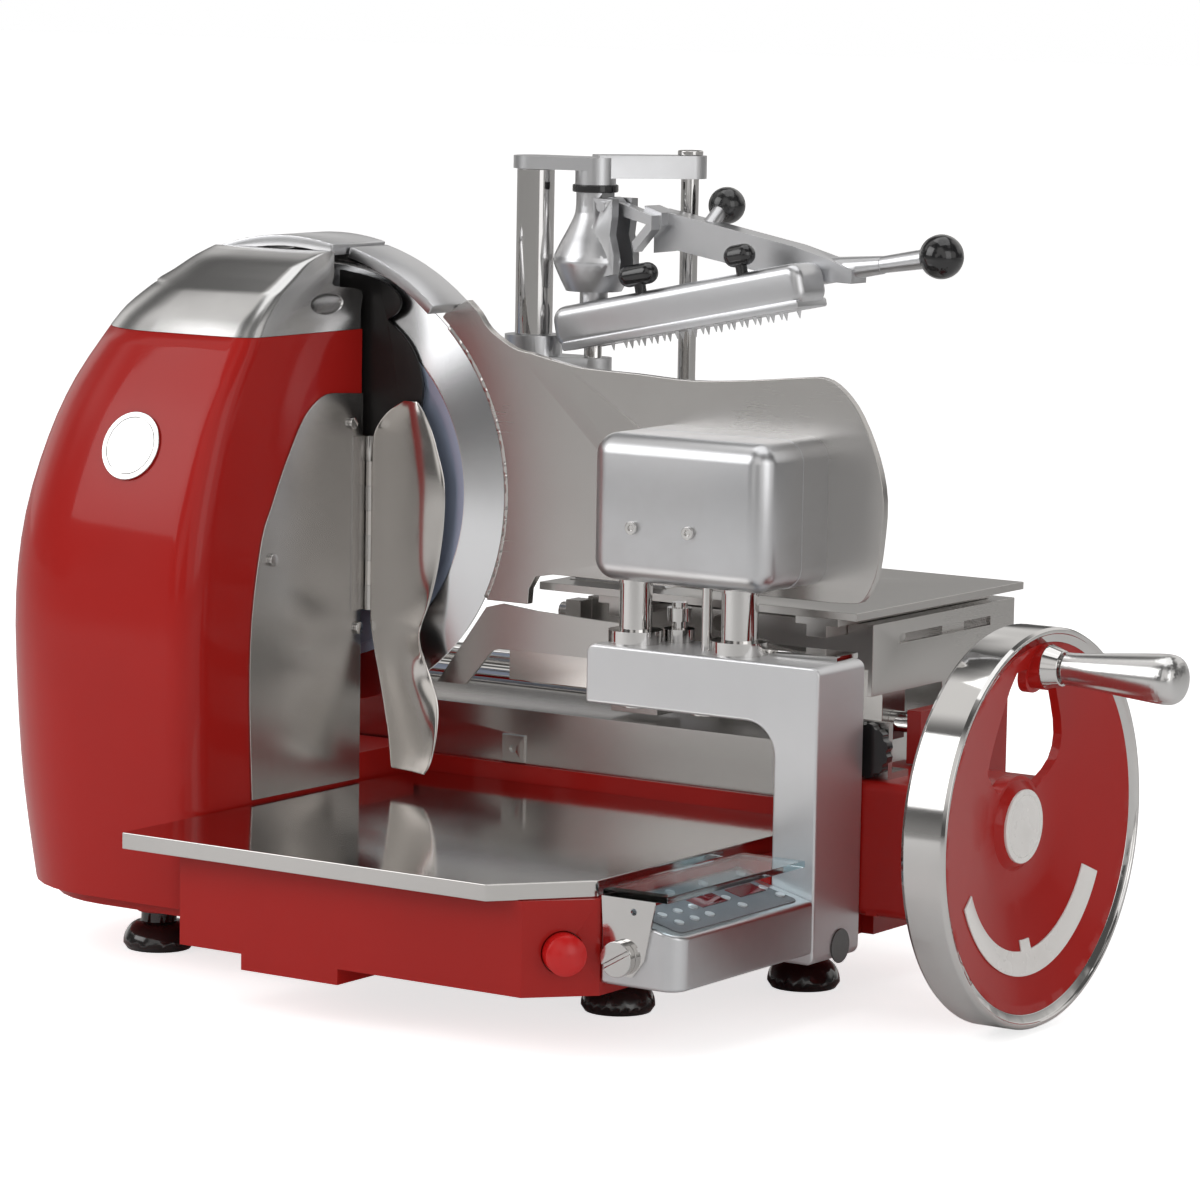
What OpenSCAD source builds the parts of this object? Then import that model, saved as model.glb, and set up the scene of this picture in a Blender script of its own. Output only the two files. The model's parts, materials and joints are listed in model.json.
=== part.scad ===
// Hand crank meat slicer with flywheel, upright round blade and sliding meat table.
// Millimetres. X runs along the carriage stroke towards the flywheel, Y runs along
// the blade axis away from the slice tray, and Z is up from the table it stands on.

/* [Blade] */
// Diameter of the round blade
blade_d = 350; // [330:1:360]
// Height of the blade axis above the table
blade_axis_h = 362; // [358:1:370]
// Width of the bevelled band at the rim of the blade
bevel_w = 35; // [20:1:45]
// Depth of the blade from its cutting edge to its front face
blade_dish = 8; // [6:0.5:10]

/* [Base] */
// Width of the front part of the base under the tray
base_front_w = 310; // [280:1:320]
// Reach of the base in front of the blade
base_front_reach = 300; // [270:1:310]
// Width of the slanted corner of the base, measured along X
base_corner_w = 39; // [30:1:45]
// Height of the underside of the base above the table
base_lift = 46; // [42:1:52]
// Wall thickness of the castings
cast_wall = 6; // [4:0.5:8]
// Diameter of a rubber foot
foot_d = 56; // [44:1:62]

/* [Blade housing] */
// Reach of the housing to the left of the blade axis
housing_left = 208; // [200:1:216]
// Reach of the housing in front of the blade
housing_front = 234; // [222:1:242]
// Distance from the blade axis to the flat right side of the housing
housing_side = 48; // [44:1:52]
// Height of the top of the sharpener cover
cover_top_h = 550; // [546:1:551]
// Wall thickness of the housing
housing_wall = 4; // [3:0.5:5]

/* [Slice tray] */
// Width of the tray
tray_w = 385; // [370:1:388]
// Overhang of the tray past the front of the base
tray_overhang = 18; // [10:1:22]
// Height of the tray surface above the table
tray_h = 128.5; // [127:0.5:131]
// Height of the folded edge of the tray
tray_edge = 12.5; // [8:0.5:12.5]

/* [Arm and column] */
// Width of the column
column_w = 38; // [32:1:42]
// Depth of the column and arm
column_depth = 66.5; // [60:0.5:66.5]
// Length of the arm and column together, along X
arm_len = 206; // [198:1:210]
// Thickness of the arm
arm_t = 45; // [38:1:48]
// Height of the top of the arm
arm_top_h = 268; // [264:1:270]

/* [Gauge plate] */
// Thickness of the gauge plate
gauge_t = 7; // [5:0.5:8]
// Reach of the gauge plate to the right of the blade axis
gauge_reach = 519; // [505:1:525]
// Width of the cover on the gauge plate
gauge_cover_w = 157; // [145:1:160]
// Height of the cover on the gauge plate
gauge_cover_h = 111; // [100:1:114]
// Depth of the cover on the gauge plate
gauge_cover_depth = 86; // [80:1:88]
// Travel of the gauge plate
gauge_travel = 10; // [4:0.5:12]

/* [Control panel] */
// Width of the panel box
panel_w = 66; // [60:1:66]
// Length of the panel box
panel_len = 183; // [176:1:184]
// Height of the right side of the panel box above the base
panel_side_h = 44; // [38:1:48]
// Rise of the panel top from its right side to its left side
panel_rise = 16; // [8:1:20]

/* [Flywheel] */
// Outer diameter of the flywheel rim
wheel_d = 297; // [280:1:298]
// Height of the flywheel axis above the table
wheel_axis_h = 152.5; // [152:0.5:156]
// Width of the flywheel rim
rim_w = 36; // [28:1:40]
// Distance from the blade axis to the front of the rim
wheel_face_x = 649.5; // [646:0.5:656]
// Radius from the wheel axis to the crank grip
crank_r = 120; // [112:1:122]
// Length of the crank grip
grip_len = 94; // [80:1:110]

/* [Carriage] */
// Width of the meat table
table_w = 290; // [270:1:292]
// Depth of the meat table
table_depth = 255; // [240:1:260]
// Height of the meat table surface
table_h = 298; // [296:1:299]
// Stroke of the carriage
stroke = 280; // [240:5:280]
// Diameter of the carriage rails
rail_d = 16; // [14:0.5:18]

/* [Meat clamp] */
// Diameter of the thick clamp post
post_d = 29.5; // [24:0.5:30]
// Diameter of the two clamp rods
clamp_rod_d = 14; // [12:0.5:15]
// Length of the toothed pusher bar
pusher_len = 232; // [210:1:240]
// Height of the pusher bar
pusher_h = 33; // [28:1:36]
// Diameter of the black ball on the handle
ball_d = 34; // [28:1:38]

/* [Drive] */
// Tooth size of the spur gears, as their module
gear_module = 2.5; // [2.25:0.05:2.5]
// Number of teeth of each spur gear
gear_teeth = 14; // [12:1:14]
// Diameter of the drive shafts
shaft_d = 16; // [12:0.5:16]

/* [Hidden] */
$fn = 96;

// Gap left between pieces that rest on or pass each other
seat_gap = 0.3;
// Radial clearance of a shaft or pin that turns or slides in a bore
run_clear = 0.05;
// Overrun of a cut past the face it opens
over = 1;

// Blade axis and shared planes
axis_z = blade_axis_h;
blade_r = blade_d / 2;
blade_edge_t = 0.6;
blade_front_y = -blade_dish;
blade_back_y = -3;
blade_hollow_r = blade_r - 10;
blade_core_r = blade_r - bevel_w;
blade_bore_r = 12;
blade_shaft_r = 14;
blade_recess_r = blade_core_r - 8;
blade_recess_t = 1.2;

// Housing: each row is a height share, a left share, a front share and a back share
housing_bottom = base_lift + 8;
housing_corner_r = 24;
corner_left_share = 0.67;
corner_front_share = 0.64;
housing_h = cover_top_h - housing_bottom;
seam_share = 0.875;
seam_left_share = 0.68;
seam_z = housing_bottom + seam_share * housing_h;
housing_back = 20;
housing_shares = [[0, 0.865, 0.97, 0.0855], [0.15, 0.925, 0.99, 0.0855], [0.3, 0.955, 1, 0.0855],
  [0.45, 0.965, 1, 0.0855], [0.58, 0.935, 0.97, 0.0855], [0.7, 0.87, 0.895, 0.0855],
  [0.79, 0.79, 0.812, 0.0855], [seam_share, seam_left_share, 0.697, 0.0855]];
cover_shares = [[seam_share, seam_left_share, 0.697, 0.0945], [0.905, 0.63, 0.65, 0.0945],
  [0.936, 0.552, 0.582, 0.0945], [0.946, 0.52, 0.55, 0.245], [0.962, 0.465, 0.491, 0.245],
  [0.985, 0.39, 0.41, 0.245], [1, 0.33, 0.31, 0.245]];
row_steps = 3;
arc_steps = 10;
badge_r = 27;
badge_t = 1.6;
badge_tilt = 20;
badge_x = -30;
badge_z_rise = 42;
badge_z = axis_z + badge_z_rise;

// Ring guard and visor, both centred on the blade axis
ring_out_r = blade_r + 13.5;
ring_in_r = blade_r - 3;
ring_gap = 3.5;
ring_front_y = 4.5;
ring_back_y = 25;
ring_web_t = 5;
ring_start = 55;
ring_sweep = 182;
ring_foot_start = 196;
ring_foot_sweep = 30;
visor_in_r = blade_r + 15;
visor_t = 9;
visor_start = 76.5;
visor_sweep = 40;
visor_front_y = -57;
visor_back_y = 12;

// Sharpening stones parked under the bright cover
stone_r = 13;
stone_t = 14;
stone_gap = 17;
stone_y = -84;
stone_rise = 18;

// Dark plate inside the blade opening
inner_plate_t = 3;
inner_plate_y = -13;
inner_unit = blade_r / 1.75;
inner_shares = [[0.2, -0.2], [0.95, -0.2], [1.03, 0.3], [1.03, 0.73], [1.08, 1], [0.79, 1.225],
  [0.67, 1.34], [0.785, 1.5], [0.6, 1.6], [0.2, 1.69]];
standoff_r = 5;
standoff_shares = [[0.32, 0], [0.32, 1.2]];

// Base: deck outline under the tray, rear body and the pan under the housing
base_left = 93;
base_right = base_left + base_front_w;
panel_x = base_right + base_corner_w;
column_right = panel_x + panel_w;
column_left = column_right - column_w;
corner_y = base_front_reach - base_corner_w * 1.077;
column_front = 75;
deck_top = tray_h - 12.5;
tray_t = 2;
tray_gap = 4;
tray_corner_w = 53;
tray_reach = base_front_reach + tray_overhang;
deck_back = 60;
deck_left = housing_side + 1;
neck_y = 215;
plateau_inset = 14;
rear_back = 215;
rear_top = 142;
rear_left = 95;
rear_right = 480;
pan_inset = 18;
bridge_x = 45;
rib_x = 50;
bridge_top = 150;
sump_left = 151;
sump_right = 240;
sump_back = 200;
sump_drop = 12;
foot_spots = [[-56, -140], [423, 52], [360, -110], [-56, 100]];
stub_r = 17;
stub_h = 16;
foot_neck_r = 14;
foot_dome_h = 22;
foot_stem_h = base_lift - stub_h;

// Drive line: three equal gears carry the turn from the flywheel shaft down to the layshaft
gear_r = gear_module * gear_teeth / 2;
tooth_out = gear_module * 0.95;
tooth_in = gear_module * 1.2;
tooth_top_share = 0.11;
tooth_foot_share = 0.31;
gear_t = 14;
gear_x = 540;
wheel_y = 16;
wheel_z = wheel_axis_h;
gear_fall = 30;
idler_y = wheel_y + 2 * gear_r * cos(gear_fall);
idler_z = wheel_z - 2 * gear_r * sin(gear_fall);
lay_y = wheel_y + 4 * gear_r * cos(gear_fall);
lay_z = wheel_z - 4 * gear_r * sin(gear_fall);
gear_mesh_turn = 180 / gear_teeth;
shaft_r = shaft_d / 2;
bevel_r = 15;
bevel_teeth = 12;
cone_w = 7;
bevel_module = 2 * bevel_r / bevel_teeth;
bearing_t = 10;
bearing_wall = 7;
pulley_y = -84;
pulley_w = 20;
pulley_low_r = 38;
pulley_high_r = 19;
pulley_flange = 3;
pulley_flange_t = 2;
belt_t = 3;
boss_wall = 9;
gear_box_right = 608;
gear_box_front = -8.4;
gear_box_back = 106;
gear_box_bottom = 74;
gear_box_top = 176;
gear_box_wall = 4;
gear_box_corner = 8;

// Side plate, its hinge and the slice deflector
plate_t = 2;
side_unit = (blade_axis_h + 1) / 3.63;
side_shares = [[-0.207, 0.755], [-0.45, 0.772], [-0.676, 0.777], [-0.85, 0.7], [-0.99, 0.58],
  [-1.12, 0.39], [-1.24, 0.19], [-1.36, -0.04], [-1.485, -0.3], [-1.6, -0.9], [-1.62, -1.52],
  [-1.58, -2.31]];
side_right_y = -20;
side_bottom = tray_h + 2;
side_screws = [[-0.35, 0.53], [-1.36, -0.46], [-0.25, -1.1]];
screw_r = 5;
screw_h = 3;
hinge_x = housing_side + 6.5;
hinge_y = -16.6;
hinge_r = 3;
hinge_pin_r = 1.5;
hinge_low_drop = 96;
hinge_low = axis_z - hinge_low_drop;
hinge_high_rise = 42;
hinge_high = axis_z + hinge_high_rise;
hinge_parts = 7;
leaf_w = 14;
leaf_t = 1.2;
cover_hinge_x = -housing_left * seam_left_share - hinge_r - seat_gap;
cover_hinge_z = seam_z + seat_gap / 2;
cover_hinge_ys = [for (s = [2.6, 2.1, 1.5, 1]) -housing_back * s];
deflector_t = 1.6;
deflector_unit = (blade_axis_h + 1) / 3.63;
deflector_shares = [[-2.21, 0.77, 0.92, -0.200], [-2.12, 0.765, 1.12, -0.2], [-2.06, 0.76, 1.2, -0.2],
  [-2.01, 0.75, 1.275, -0.2], [-1.82, 0.715, 1.285, -0.2], [-1.67, 0.69, 1.27, -0.2],
  [-1.52, 0.66, 1.21, -0.2], [-1.34, 0.645, 1.17, -0.195], [-1.12, 0.62, 1.145, -0.19],
  [-0.9, 0.607, 1.14, -0.185], [-0.61, 0.6, 1.23, -0.18], [-0.4, 0.6, 1.27, -0.18],
  [0, 0.6, 1.29, -0.18], [0.25, 0.6, 1.24, -0.18], [0.46, 0.6, 1.17, -0.18],
  [0.58, 0.68, 1.125, -0.18], [0.68, 0.8, 1.07, -0.18], [0.75, 0.93, 0.98, -0.18]];

// Gauge plate: outline shares of one unit, X from the blade axis and Z from its height
gauge_unit = gauge_reach / 5.19;
gauge_top_shares = [[1.4, 1.53], [1.5, 1.44], [1.6, 1.32], [1.76, 1.22], [1.88, 1.17],
  [2.01, 1.15], [2.26, 1.1], [2.51, 1.065], [3, 1.05], [3.48, 1.03], [3.96, 1.06], [4.44, 1.11],
  [4.65, 1.12], [4.81, 1.04], [4.97, 0.86], [5.12, 0.55], [5.19, 0.24], [5.17, -0.11],
  [5.13, -0.33], [5.04, -0.5], [4.92, -0.545], [4.48, -0.55]];
gauge_low_shares = [[2.24, -0.55], [2.08, -0.58], [2.02, -0.68], [2.01, -0.8], [1.5, -0.8],
  [1, -0.3], [1, 1.2], [1.19, 1.42]];
gauge_gap = 5.5;
gauge_cover_x = 313.5;
gauge_cover_low_drop = 43;
gauge_cover_low = axis_z - gauge_cover_low_drop;
gauge_cover_split = 42;
gauge_cover_wall = 3;
gauge_cover_corner = 17;
gauge_cover_front = gauge_cover_depth + gauge_t;
gauge_screw_xs = [354, 404];
gauge_screw_z_drop = 1;
gauge_screw_z = axis_z - gauge_screw_z_drop;
post_y = -47;
post_left_x = 328;
post_right_x = 421;
post_left_r = 12.5;
post_right_r = 14;
collar_wall = 8;
collar_h = 10;
post_neck_r = 9;
post_top = gauge_cover_low + 34;
post_pin_r = 5;
post_pin_z = gauge_cover_low + 24;
post_pin_end = -18;
boss_r = 9;
boss_front = -27;
thin_post_x = 392;
thin_post_r = 4;
small_knob_x = 350;
small_knob_y = -20;
small_knob_r = 12;

// Arm and column
arm_left = column_right - arm_len;
arm_back = column_front - column_depth;
arm_low = arm_top_h - arm_t;
arm_fillet = 25;
arm_corner = 7;
top_plate_len = 92;
top_plate_w = 30;
top_plate_t = 4;
plug_r = 13;
plug_t = 1;
plug_y = -37;
plug_z = base_lift + 10;
arm_bolt_xs = [330, 392];
arm_bolt_r = 11;
arm_bolt_h = 4;

// Guard strip under the gauge plate, behind the arm
guard_t = 3;
guard_y = 1;
guard_shares = [[1.56, -0.87], [1.71, -0.83], [2.04, -0.86], [3.1, -0.9], [3.1, -1.18], [1.7, -1.185],
  [1.62, -1.21], [1.37, -1.5], [1.1, -1.5]];
guard_bar_x = 177;
guard_bar_len = 130;
guard_bar_low_drop = 142;
guard_bar_low = axis_z - guard_bar_low_drop;
guard_bar_h = 24;
guard_bar_t = 8;

// Rail cover behind the tray
cover_front_y = 64;
cover_back_y = 205;
cover_left = 88;
cover_right = 440;
rail_cover_h = 44;
rail_cover_top = rear_top + rail_cover_h;
rail_cover_t = 2;
tab_x = 130;
tab_w = 22;
tab_h = 22;

// Panel, overlay and shield
panel_back = column_front;
panel_front = panel_back + panel_len;
panel_low = base_lift + 9;
panel_side_top = panel_low + panel_side_h - 4;
panel_angle = atan(panel_rise / panel_w);
panel_corner = 15;
overlay_inset = 6;
overlay_t = 0.8;
window_t = 0.6;
window_len = 34;
window_w = 15;
key_r = 3.6;
key_t = 1.2;
shield_sink = 9;
shield_low = tray_h - shield_sink;
shield_t = 5;
shield_front = panel_front + 2;
shield_left = panel_x + 3;
shield_right = column_right - 8;
bracket_t = 2;
bracket_top_w = 46;
bracket_low_w = 20;
bracket_screw_z = panel_low + 21;
bracket_screw_x = panel_x + 19;
bracket_screw_r = 13;
bracket_screw_h = 7;
button_r = 15;
button_reach = 12;
button_stem_r = 9;
button_travel = 4;
button_z = deck_top - 38;

// Thickness knob behind the column
knob_x = 496;
knob_z_drop = 164;
knob_z = axis_z - knob_z_drop;
knob_r = 21;
knob_front = -2;
knob_t = 8;
knob_pin_r = 4;
bracket_x = 486;
knob_bracket_w = 34;
knob_bracket_y = 7;

// Carriage
table_left = 200;
table_right = table_left + table_w - 2;
table_t = 6;
table_front = 10;
table_back = table_front + table_depth;
skirt_x = table_right - 15;
skirt_front = 60;
skirt_back = 278;
skirt_low = table_h - 70;
skirt_t = 4;
carriage_top = table_h - table_t - 9;
guide_h = 9;
guide_w = 18;
guide_shares = [0.18, 0.8];
rail_ys = [100, 190];
rail_z = 205;
rail_r = rail_d / 2;
rail_left = table_left - stroke - 24;
rail_right = 506;
rail_bracket_t = 12;
truck_len = 44;
truck_w = 34;
truck_low = 190;
feed_rod_r = 6;
lug_w = 20;
lug_y = 75;
feed_rod_z = carriage_top - 10;
slot_front = 100;
slot_back = 240;
slot_low = table_h - 27;
slot_h = 13;

// Clamp: posts stand on the table, the head turns on the centre rod
clamp_x = 206;
clamp_y = 70;
post_x = clamp_x - 49;
post_y2 = clamp_y - 11;
thin_x = clamp_x + 52;
thin_y = clamp_y + 55;
post_r = post_d / 2;
foot_x = 14;
foot_w = 84;
foot_d2 = 40;
pad_rim = 3;
pad_t = 1;
clamp_rod_r = clamp_rod_d / 2;
slab_low_rise = 105;
slab_low = axis_z + slab_low_rise;
slab_step = 9;
slab_t = 12;
slab_top_rise = 124;
slab_top = axis_z + slab_top_rise;
bridge_low_rise = 248;
bridge_low = axis_z + bridge_low_rise;
bridge_high_rise = 264;
bridge_high = axis_z + bridge_high_rise;
post_high_rise = 254;
post_high = axis_z + post_high_rise;
rod_boss_low_rise = 243;
rod_boss_low = axis_z + rod_boss_low_rise;
bush_low_rise = 237;
bush_low = axis_z + bush_low_rise;
bush_r = 16;
head_low_rise = 160;
head_low = axis_z + head_low_rise;
nut_r = 10;
nut_h = 4;
head_shares = [[1, 0.15], [0.8, 0.155], [0.63, 0.21], [0.457, 0.28], [0.315, 0.32], [0.173, 0.285],
  [0, 0.22]];
head_h = bush_low - head_low;
pin_x = clamp_x + 18;
pin_z_rise = 227;
pin_z = axis_z + pin_z_rise;
pin_r = 4;
fork_w = 36;
fork_slot = 18;
lever_in_x = clamp_x + 50;
lever_t = 22;
handle_root_r = 10.5;
handle_neck_r = 7;
handle_tip_r = 8;
lever_shift = 17;
lever_drop = 2;
lever_end_x = 404;
lever_unit = 100;
lever_top_shares = [[0.62, 2.27], [0.83, 2.235], [1.88, 2.045], [2.2, 1.96], [2.42, 1.88]];
lever_low_shares = [[2.42, 1.78], [2.1, 1.79], [1.6, 1.83], [0.83, 1.96], [0.62, 1.93]];
link_t = 10;
ball_r = ball_d / 2;
ball_x = 511;
ball_z_rise = 200.6;
ball_z = axis_z + ball_z_rise;
rear_ball_x = 294;
rear_ball_y = 119;
rear_ball_z_rise = 228.5;
rear_ball_z = axis_z + rear_ball_z_rise;
rear_ball_r = 14.5;
pusher_t = 40;
pusher_side = 5;
pusher_pin_x = clamp_x;
pusher_pin_z_rise = 138;
pusher_pin_z = axis_z + pusher_pin_z_rise;
fork_shares = [[0.12, 2.33], [0.28, 2.33], [0.28, 2.2], [0.26, 2.05], [0.3, 1.9], [0.3, 1.75], [0.1, 1.7],
  [0.1, 2.33]];
hub_r_in = 8;
wheel_hub_r = 34;
wheel_dish = 28;
disc_t = 7;
crank_boss_r = 17;
crank_pin_r = 8;
hub_badge_r = 27.5;
window_shares = [[-0.24, 0.8], [0.1, 0.8], [0.22, 0.66], [0.35, 0.42], [0.3, 0.24], [0, 0.1], [-0.3, 0.26],
  [-0.36, 0.36], [-0.28, 0.72]];
grip_shares = [[0, 0.13], [0.1, 0.133], [0.4, 0.16], [0.7, 0.187], [0.85, 0.197], [0.93, 0.185], [0.98, 0.14],
  [1, 0.05]];

pusher_angle = 11.8;
pusher_drop = 20;
pusher_tail = 24;
pusher_round = 12;
pusher_slot_half = 18;
sleeve_r = 11;
sleeve_low_rise = 118;
sleeve_low = axis_z + sleeve_low_rise;
trunnion_r = 4;
trunnion_reach = 14;
tooth_w = 8;
tooth_h = 7;
tooth_gap = 4;
end_block_w = 30;
end_block_h = 14;
knob_left_at = 60;
knob_right_at = 154;
t_knob_y = 52;
t_knob_left_w = 34;
t_knob_right_w = 26;
t_knob_r = 8.5;
t_stem_r = 4.5;
t_stem_h = 9;
t_stem_in = 9;
lever_front = 85.6;

// Middle of the whole slicer at rest, brought over the origin
grip_gap = 15.5;
grip_end_x = wheel_face_x + grip_gap + grip_len;
centre_x = (grip_end_x - housing_left) / 2;
centre_y = (skirt_back - tray_reach) / 2;

// Colours
red = [0.62, 0.03, 0.03];
steel = [0.74, 0.74, 0.74];
bright = [0.86, 0.87, 0.88];
dark = [0.12, 0.11, 0.11];
rubber = [0.2, 0.17, 0.16];
satin = [0.66, 0.65, 0.64];
white = [0.9, 0.89, 0.87];
display_red = [0.35, 0.02, 0.03];
clear = [0.7, 0.78, 0.8, 0.4];
brass = [0.72, 0.6, 0.35];

// One point of a smooth curve through four neighbours
function curve_point(a, b, c, d, t) =
  (2 * b + (c - a) * t + (2 * a - 5 * b + 4 * c - d) * t * t + (3 * b - a - 3 * c + d) * t * t * t) / 2;
// Smooth open curve through all points, n steps between two of them
function smooth(pts, n) = concat([for (i = [0:len(pts) - 2]) for (k = [0:n - 1])
  curve_point(pts[max(i - 1, 0)], pts[i], pts[i + 1], pts[min(i + 2, len(pts) - 1)], k / n)],
  [pts[len(pts) - 1]]);
// Plan outline of the housing at one height: seen from above, from the back right corner
function housing_plan(left, front, back, side, corner) = concat([[side, -back], [-left, -back]],
  [for (k = [0:arc_steps])
    [-left + left * corner_left_share * (1 - cos(90 * k / arc_steps)),
      -front + min(front * corner_front_share, front - back - over / 4) * (1 - sin(90 * k / arc_steps))]],
  [for (k = [0:arc_steps / 2])
    [side - corner + corner * sin(180 * k / arc_steps), -front + corner - corner * cos(180 * k / arc_steps)]]);

// Solid through a stack of outlines with the same number of points, from low to high
module loft(stack) {
  n = len(stack[0]);
  m = len(stack);
  sides = [for (j = [0:m - 2]) for (i = [0:n - 1])
    each [[j * n + i, (j + 1) * n + i, (j + 1) * n + (i + 1) % n],
      [j * n + i, (j + 1) * n + (i + 1) % n, j * n + (i + 1) % n]]];
  low = [[for (i = [0:n - 1]) i]];
  high = [[for (i = [0:n - 1]) (m - 1) * n + n - 1 - i]];
  polyhedron(points = [for (s = stack) each s], faces = concat(sides, low, high));
}

// Outline in Y and Z, drawn out along X from x
module along_x(x, len) {
  translate([x, 0, 0])
    rotate([90, 0, 90])
      linear_extrude(len)
        children();
}

// Outline in X and Z, drawn out along Y from y
module along_y(y, len) {
  translate([0, y + len, 0])
    rotate([90, 0, 0])
      linear_extrude(len)
        children();
}

// Round bar along X
module bar_x(x, len, y, z, r) {
  translate([x, y, z])
    rotate([0, 90, 0])
      cylinder(h = len, r = r);
}

// Round bar along Y
module bar_y(y, len, x, z, r) {
  translate([x, y, z])
    rotate([-90, 0, 0])
      cylinder(h = len, r = r);
}

// Round bar along Z
module bar_z(z, len, x, y, r) {
  translate([x, y, z])
    cylinder(h = len, r = r);
}

// Round bar between two points, with a radius at each
module strut(p, q, r1, r2) {
  d = q - p;
  len = norm(d);
  translate(p)
    rotate([0, acos(d[2] / len), atan2(d[1], d[0])])
      cylinder(h = len, r1 = r1, r2 = r2);
}

// Upright block from one corner to the other
module block(low, high) {
  translate(low)
    cube(high - low);
}

// Rectangle with rounded corners, from one corner to the other
module soft_rect(low, high, r) {
  w = high[0] - low[0];
  h = high[1] - low[1];
  translate([low[0] + r, low[1]])
    square([w - 2 * r, h]);
  translate([low[0], low[1] + r])
    square([w, h - 2 * r]);
  for (x = [low[0] + r, high[0] - r])
    for (y = [low[1] + r, high[1] - r])
      translate([x, y])
        circle(r = r);
}

// Spur gear outline with straight flanks
module gear_outline(teeth, r, out, in) {
  top = 360 / teeth * tooth_top_share;
  foot = 360 / teeth * tooth_foot_share;
  polygon([for (i = [0:teeth - 1]) for (c = [[-foot, -1], [-top, 1], [top, 1], [foot, -1]])
    let (a = 360 / teeth * i + c[0] / 1, q = c[1] > 0 ? r + out : r - in)
      [q * cos(a), q * sin(a)]]);
}

// Moves a piece so that the whole slicer stands centred over the origin
module placed() {
  translate([-centre_x, -centre_y, 0])
    children();
}

function deck_outline(inset) = [
  [base_left + inset, -base_front_reach + inset],
  [base_right - inset / 2, -base_front_reach + inset],
  [panel_x - inset, -corner_y + inset / 2],
  [panel_x - inset, -column_front],
  [panel_x - inset, deck_back],
  [deck_left + inset, deck_back],
  [deck_left + inset, -neck_y + inset],
  [base_left + inset, -neck_y + inset]];

module base_casting() {
  color(red) placed() {
    difference() {
      block([rib_x, deck_back + over, base_lift + over], [rib_x + cast_wall, rear_back - over, rear_top - over]);
      bar_x(rib_x - over, cast_wall + 2 * over, lay_y, lay_z, shaft_r + run_clear);
    }
    difference() {
      union() {
        translate([0, 0, base_lift])
          linear_extrude(deck_top - base_lift)
            polygon(deck_outline(0));
        translate([0, 0, base_lift + cast_wall])
          linear_extrude(tray_h - tray_t - base_lift - cast_wall)
            polygon(deck_outline(plateau_inset));
        block([panel_x - cast_wall, -column_front, base_lift], [column_left, deck_back, deck_top]);
        block([-rear_left, deck_back - over, base_lift], [rear_right, rear_back, rear_top]);
        block([-bridge_x, -housing_back + seat_gap, base_lift], [bridge_x, deck_back, bridge_top]);
        block([bridge_x - over, -housing_back + seat_gap, base_lift], [deck_left + over, deck_back, deck_top]);
        translate([0, 0, base_lift])
          linear_extrude(housing_bottom - base_lift)
            polygon(housing_plan(housing_left * housing_shares[0][1] - pan_inset, housing_front - pan_inset,
              housing_back - over, deck_left + over, housing_corner_r));
        block([sump_left, -base_front_reach, base_lift - sump_drop], [sump_right, -sump_back, base_lift + over]);
        for (p = foot_spots)
          bar_z(base_lift - stub_h, stub_h + over, p[0], p[1], stub_r);
      }
      translate([0, 0, base_lift + cast_wall])
        linear_extrude(deck_top - base_lift - 2 * cast_wall)
          polygon(deck_outline(cast_wall));
      block([-rear_left + cast_wall, deck_back + cast_wall, base_lift + cast_wall],
        [rear_right - cast_wall, rear_back - cast_wall, rear_top - cast_wall]);
      block([-bridge_x + cast_wall, -housing_back + cast_wall, housing_bottom + cast_wall],
        [bridge_x - cast_wall, deck_back + cast_wall + over, bridge_top - cast_wall]);
      bar_y(-housing_back - over, cast_wall + 2 * over, 0, lay_z, shaft_r + bearing_wall);
      bar_x(rear_right - cast_wall - over, cast_wall + 2 * over, lay_y, lay_z, shaft_r + bearing_wall);
      button_pose()
        translate([0, 0, -button_reach - 2 * cast_wall])
          cylinder(h = button_reach + 4 * cast_wall, r = button_stem_r + run_clear);
      button_pose()
        translate([0, 0, -button_travel - seat_gap])
          cylinder(h = cast_wall, r = button_r + 1);
    }
  }
}

// Middle of the slanted corner of the base, facing outwards along Z
module button_pose() {
  translate([(base_right + panel_x) / 2 + over, -(base_front_reach + corner_y) / 2 + over, button_z])
    rotate([90, 0, atan2(base_front_reach - corner_y, base_corner_w)])
      children();
}

module stop_button() {
  color(red) placed()
    button_pose() {
      cylinder(h = button_reach, r = button_r);
      translate([0, 0, button_reach])
        intersection() {
          translate([0, 0, -button_r])
            sphere(r = button_r * 1.414);
          cylinder(h = button_r, r = button_r);
        }
      translate([0, 0, -button_reach - cast_wall / 2])
        cylinder(h = button_reach + cast_wall, r = button_stem_r);
    }
}

module feet() {
  color(rubber) placed()
    for (p = foot_spots)
      translate([p[0], p[1], 0]) {
        rotate_extrude()
          polygon(concat([[0, 0]], [for (k = [0:arc_steps])
            [foot_neck_r + (foot_d / 2 - foot_neck_r) * cos(90 * k / arc_steps), 
              foot_dome_h / 5 + foot_dome_h * 0.8 * sin(90 * k / arc_steps)]], [[0, foot_dome_h]]));
        cylinder(h = foot_dome_h / 5, r1 = foot_d / 2 - 3, r2 = foot_d / 2);
        cylinder(h = foot_stem_h, r = foot_neck_r);
      }
}

function reversed(list) = [for (i = [len(list) - 1:-1:0]) list[i]];

function housing_stack(rows, wall, low_cut) = [for (r = rows)
  let (z = housing_bottom + r[0] * housing_h + low_cut)
    [for (p = housing_plan(r[1] * housing_left - wall, r[2] * housing_front - wall,
      r[3] * housing_front + wall, housing_side - wall, housing_corner_r * min(1, r[2]) - wall))
      [p[0], p[1], z]]];

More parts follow.
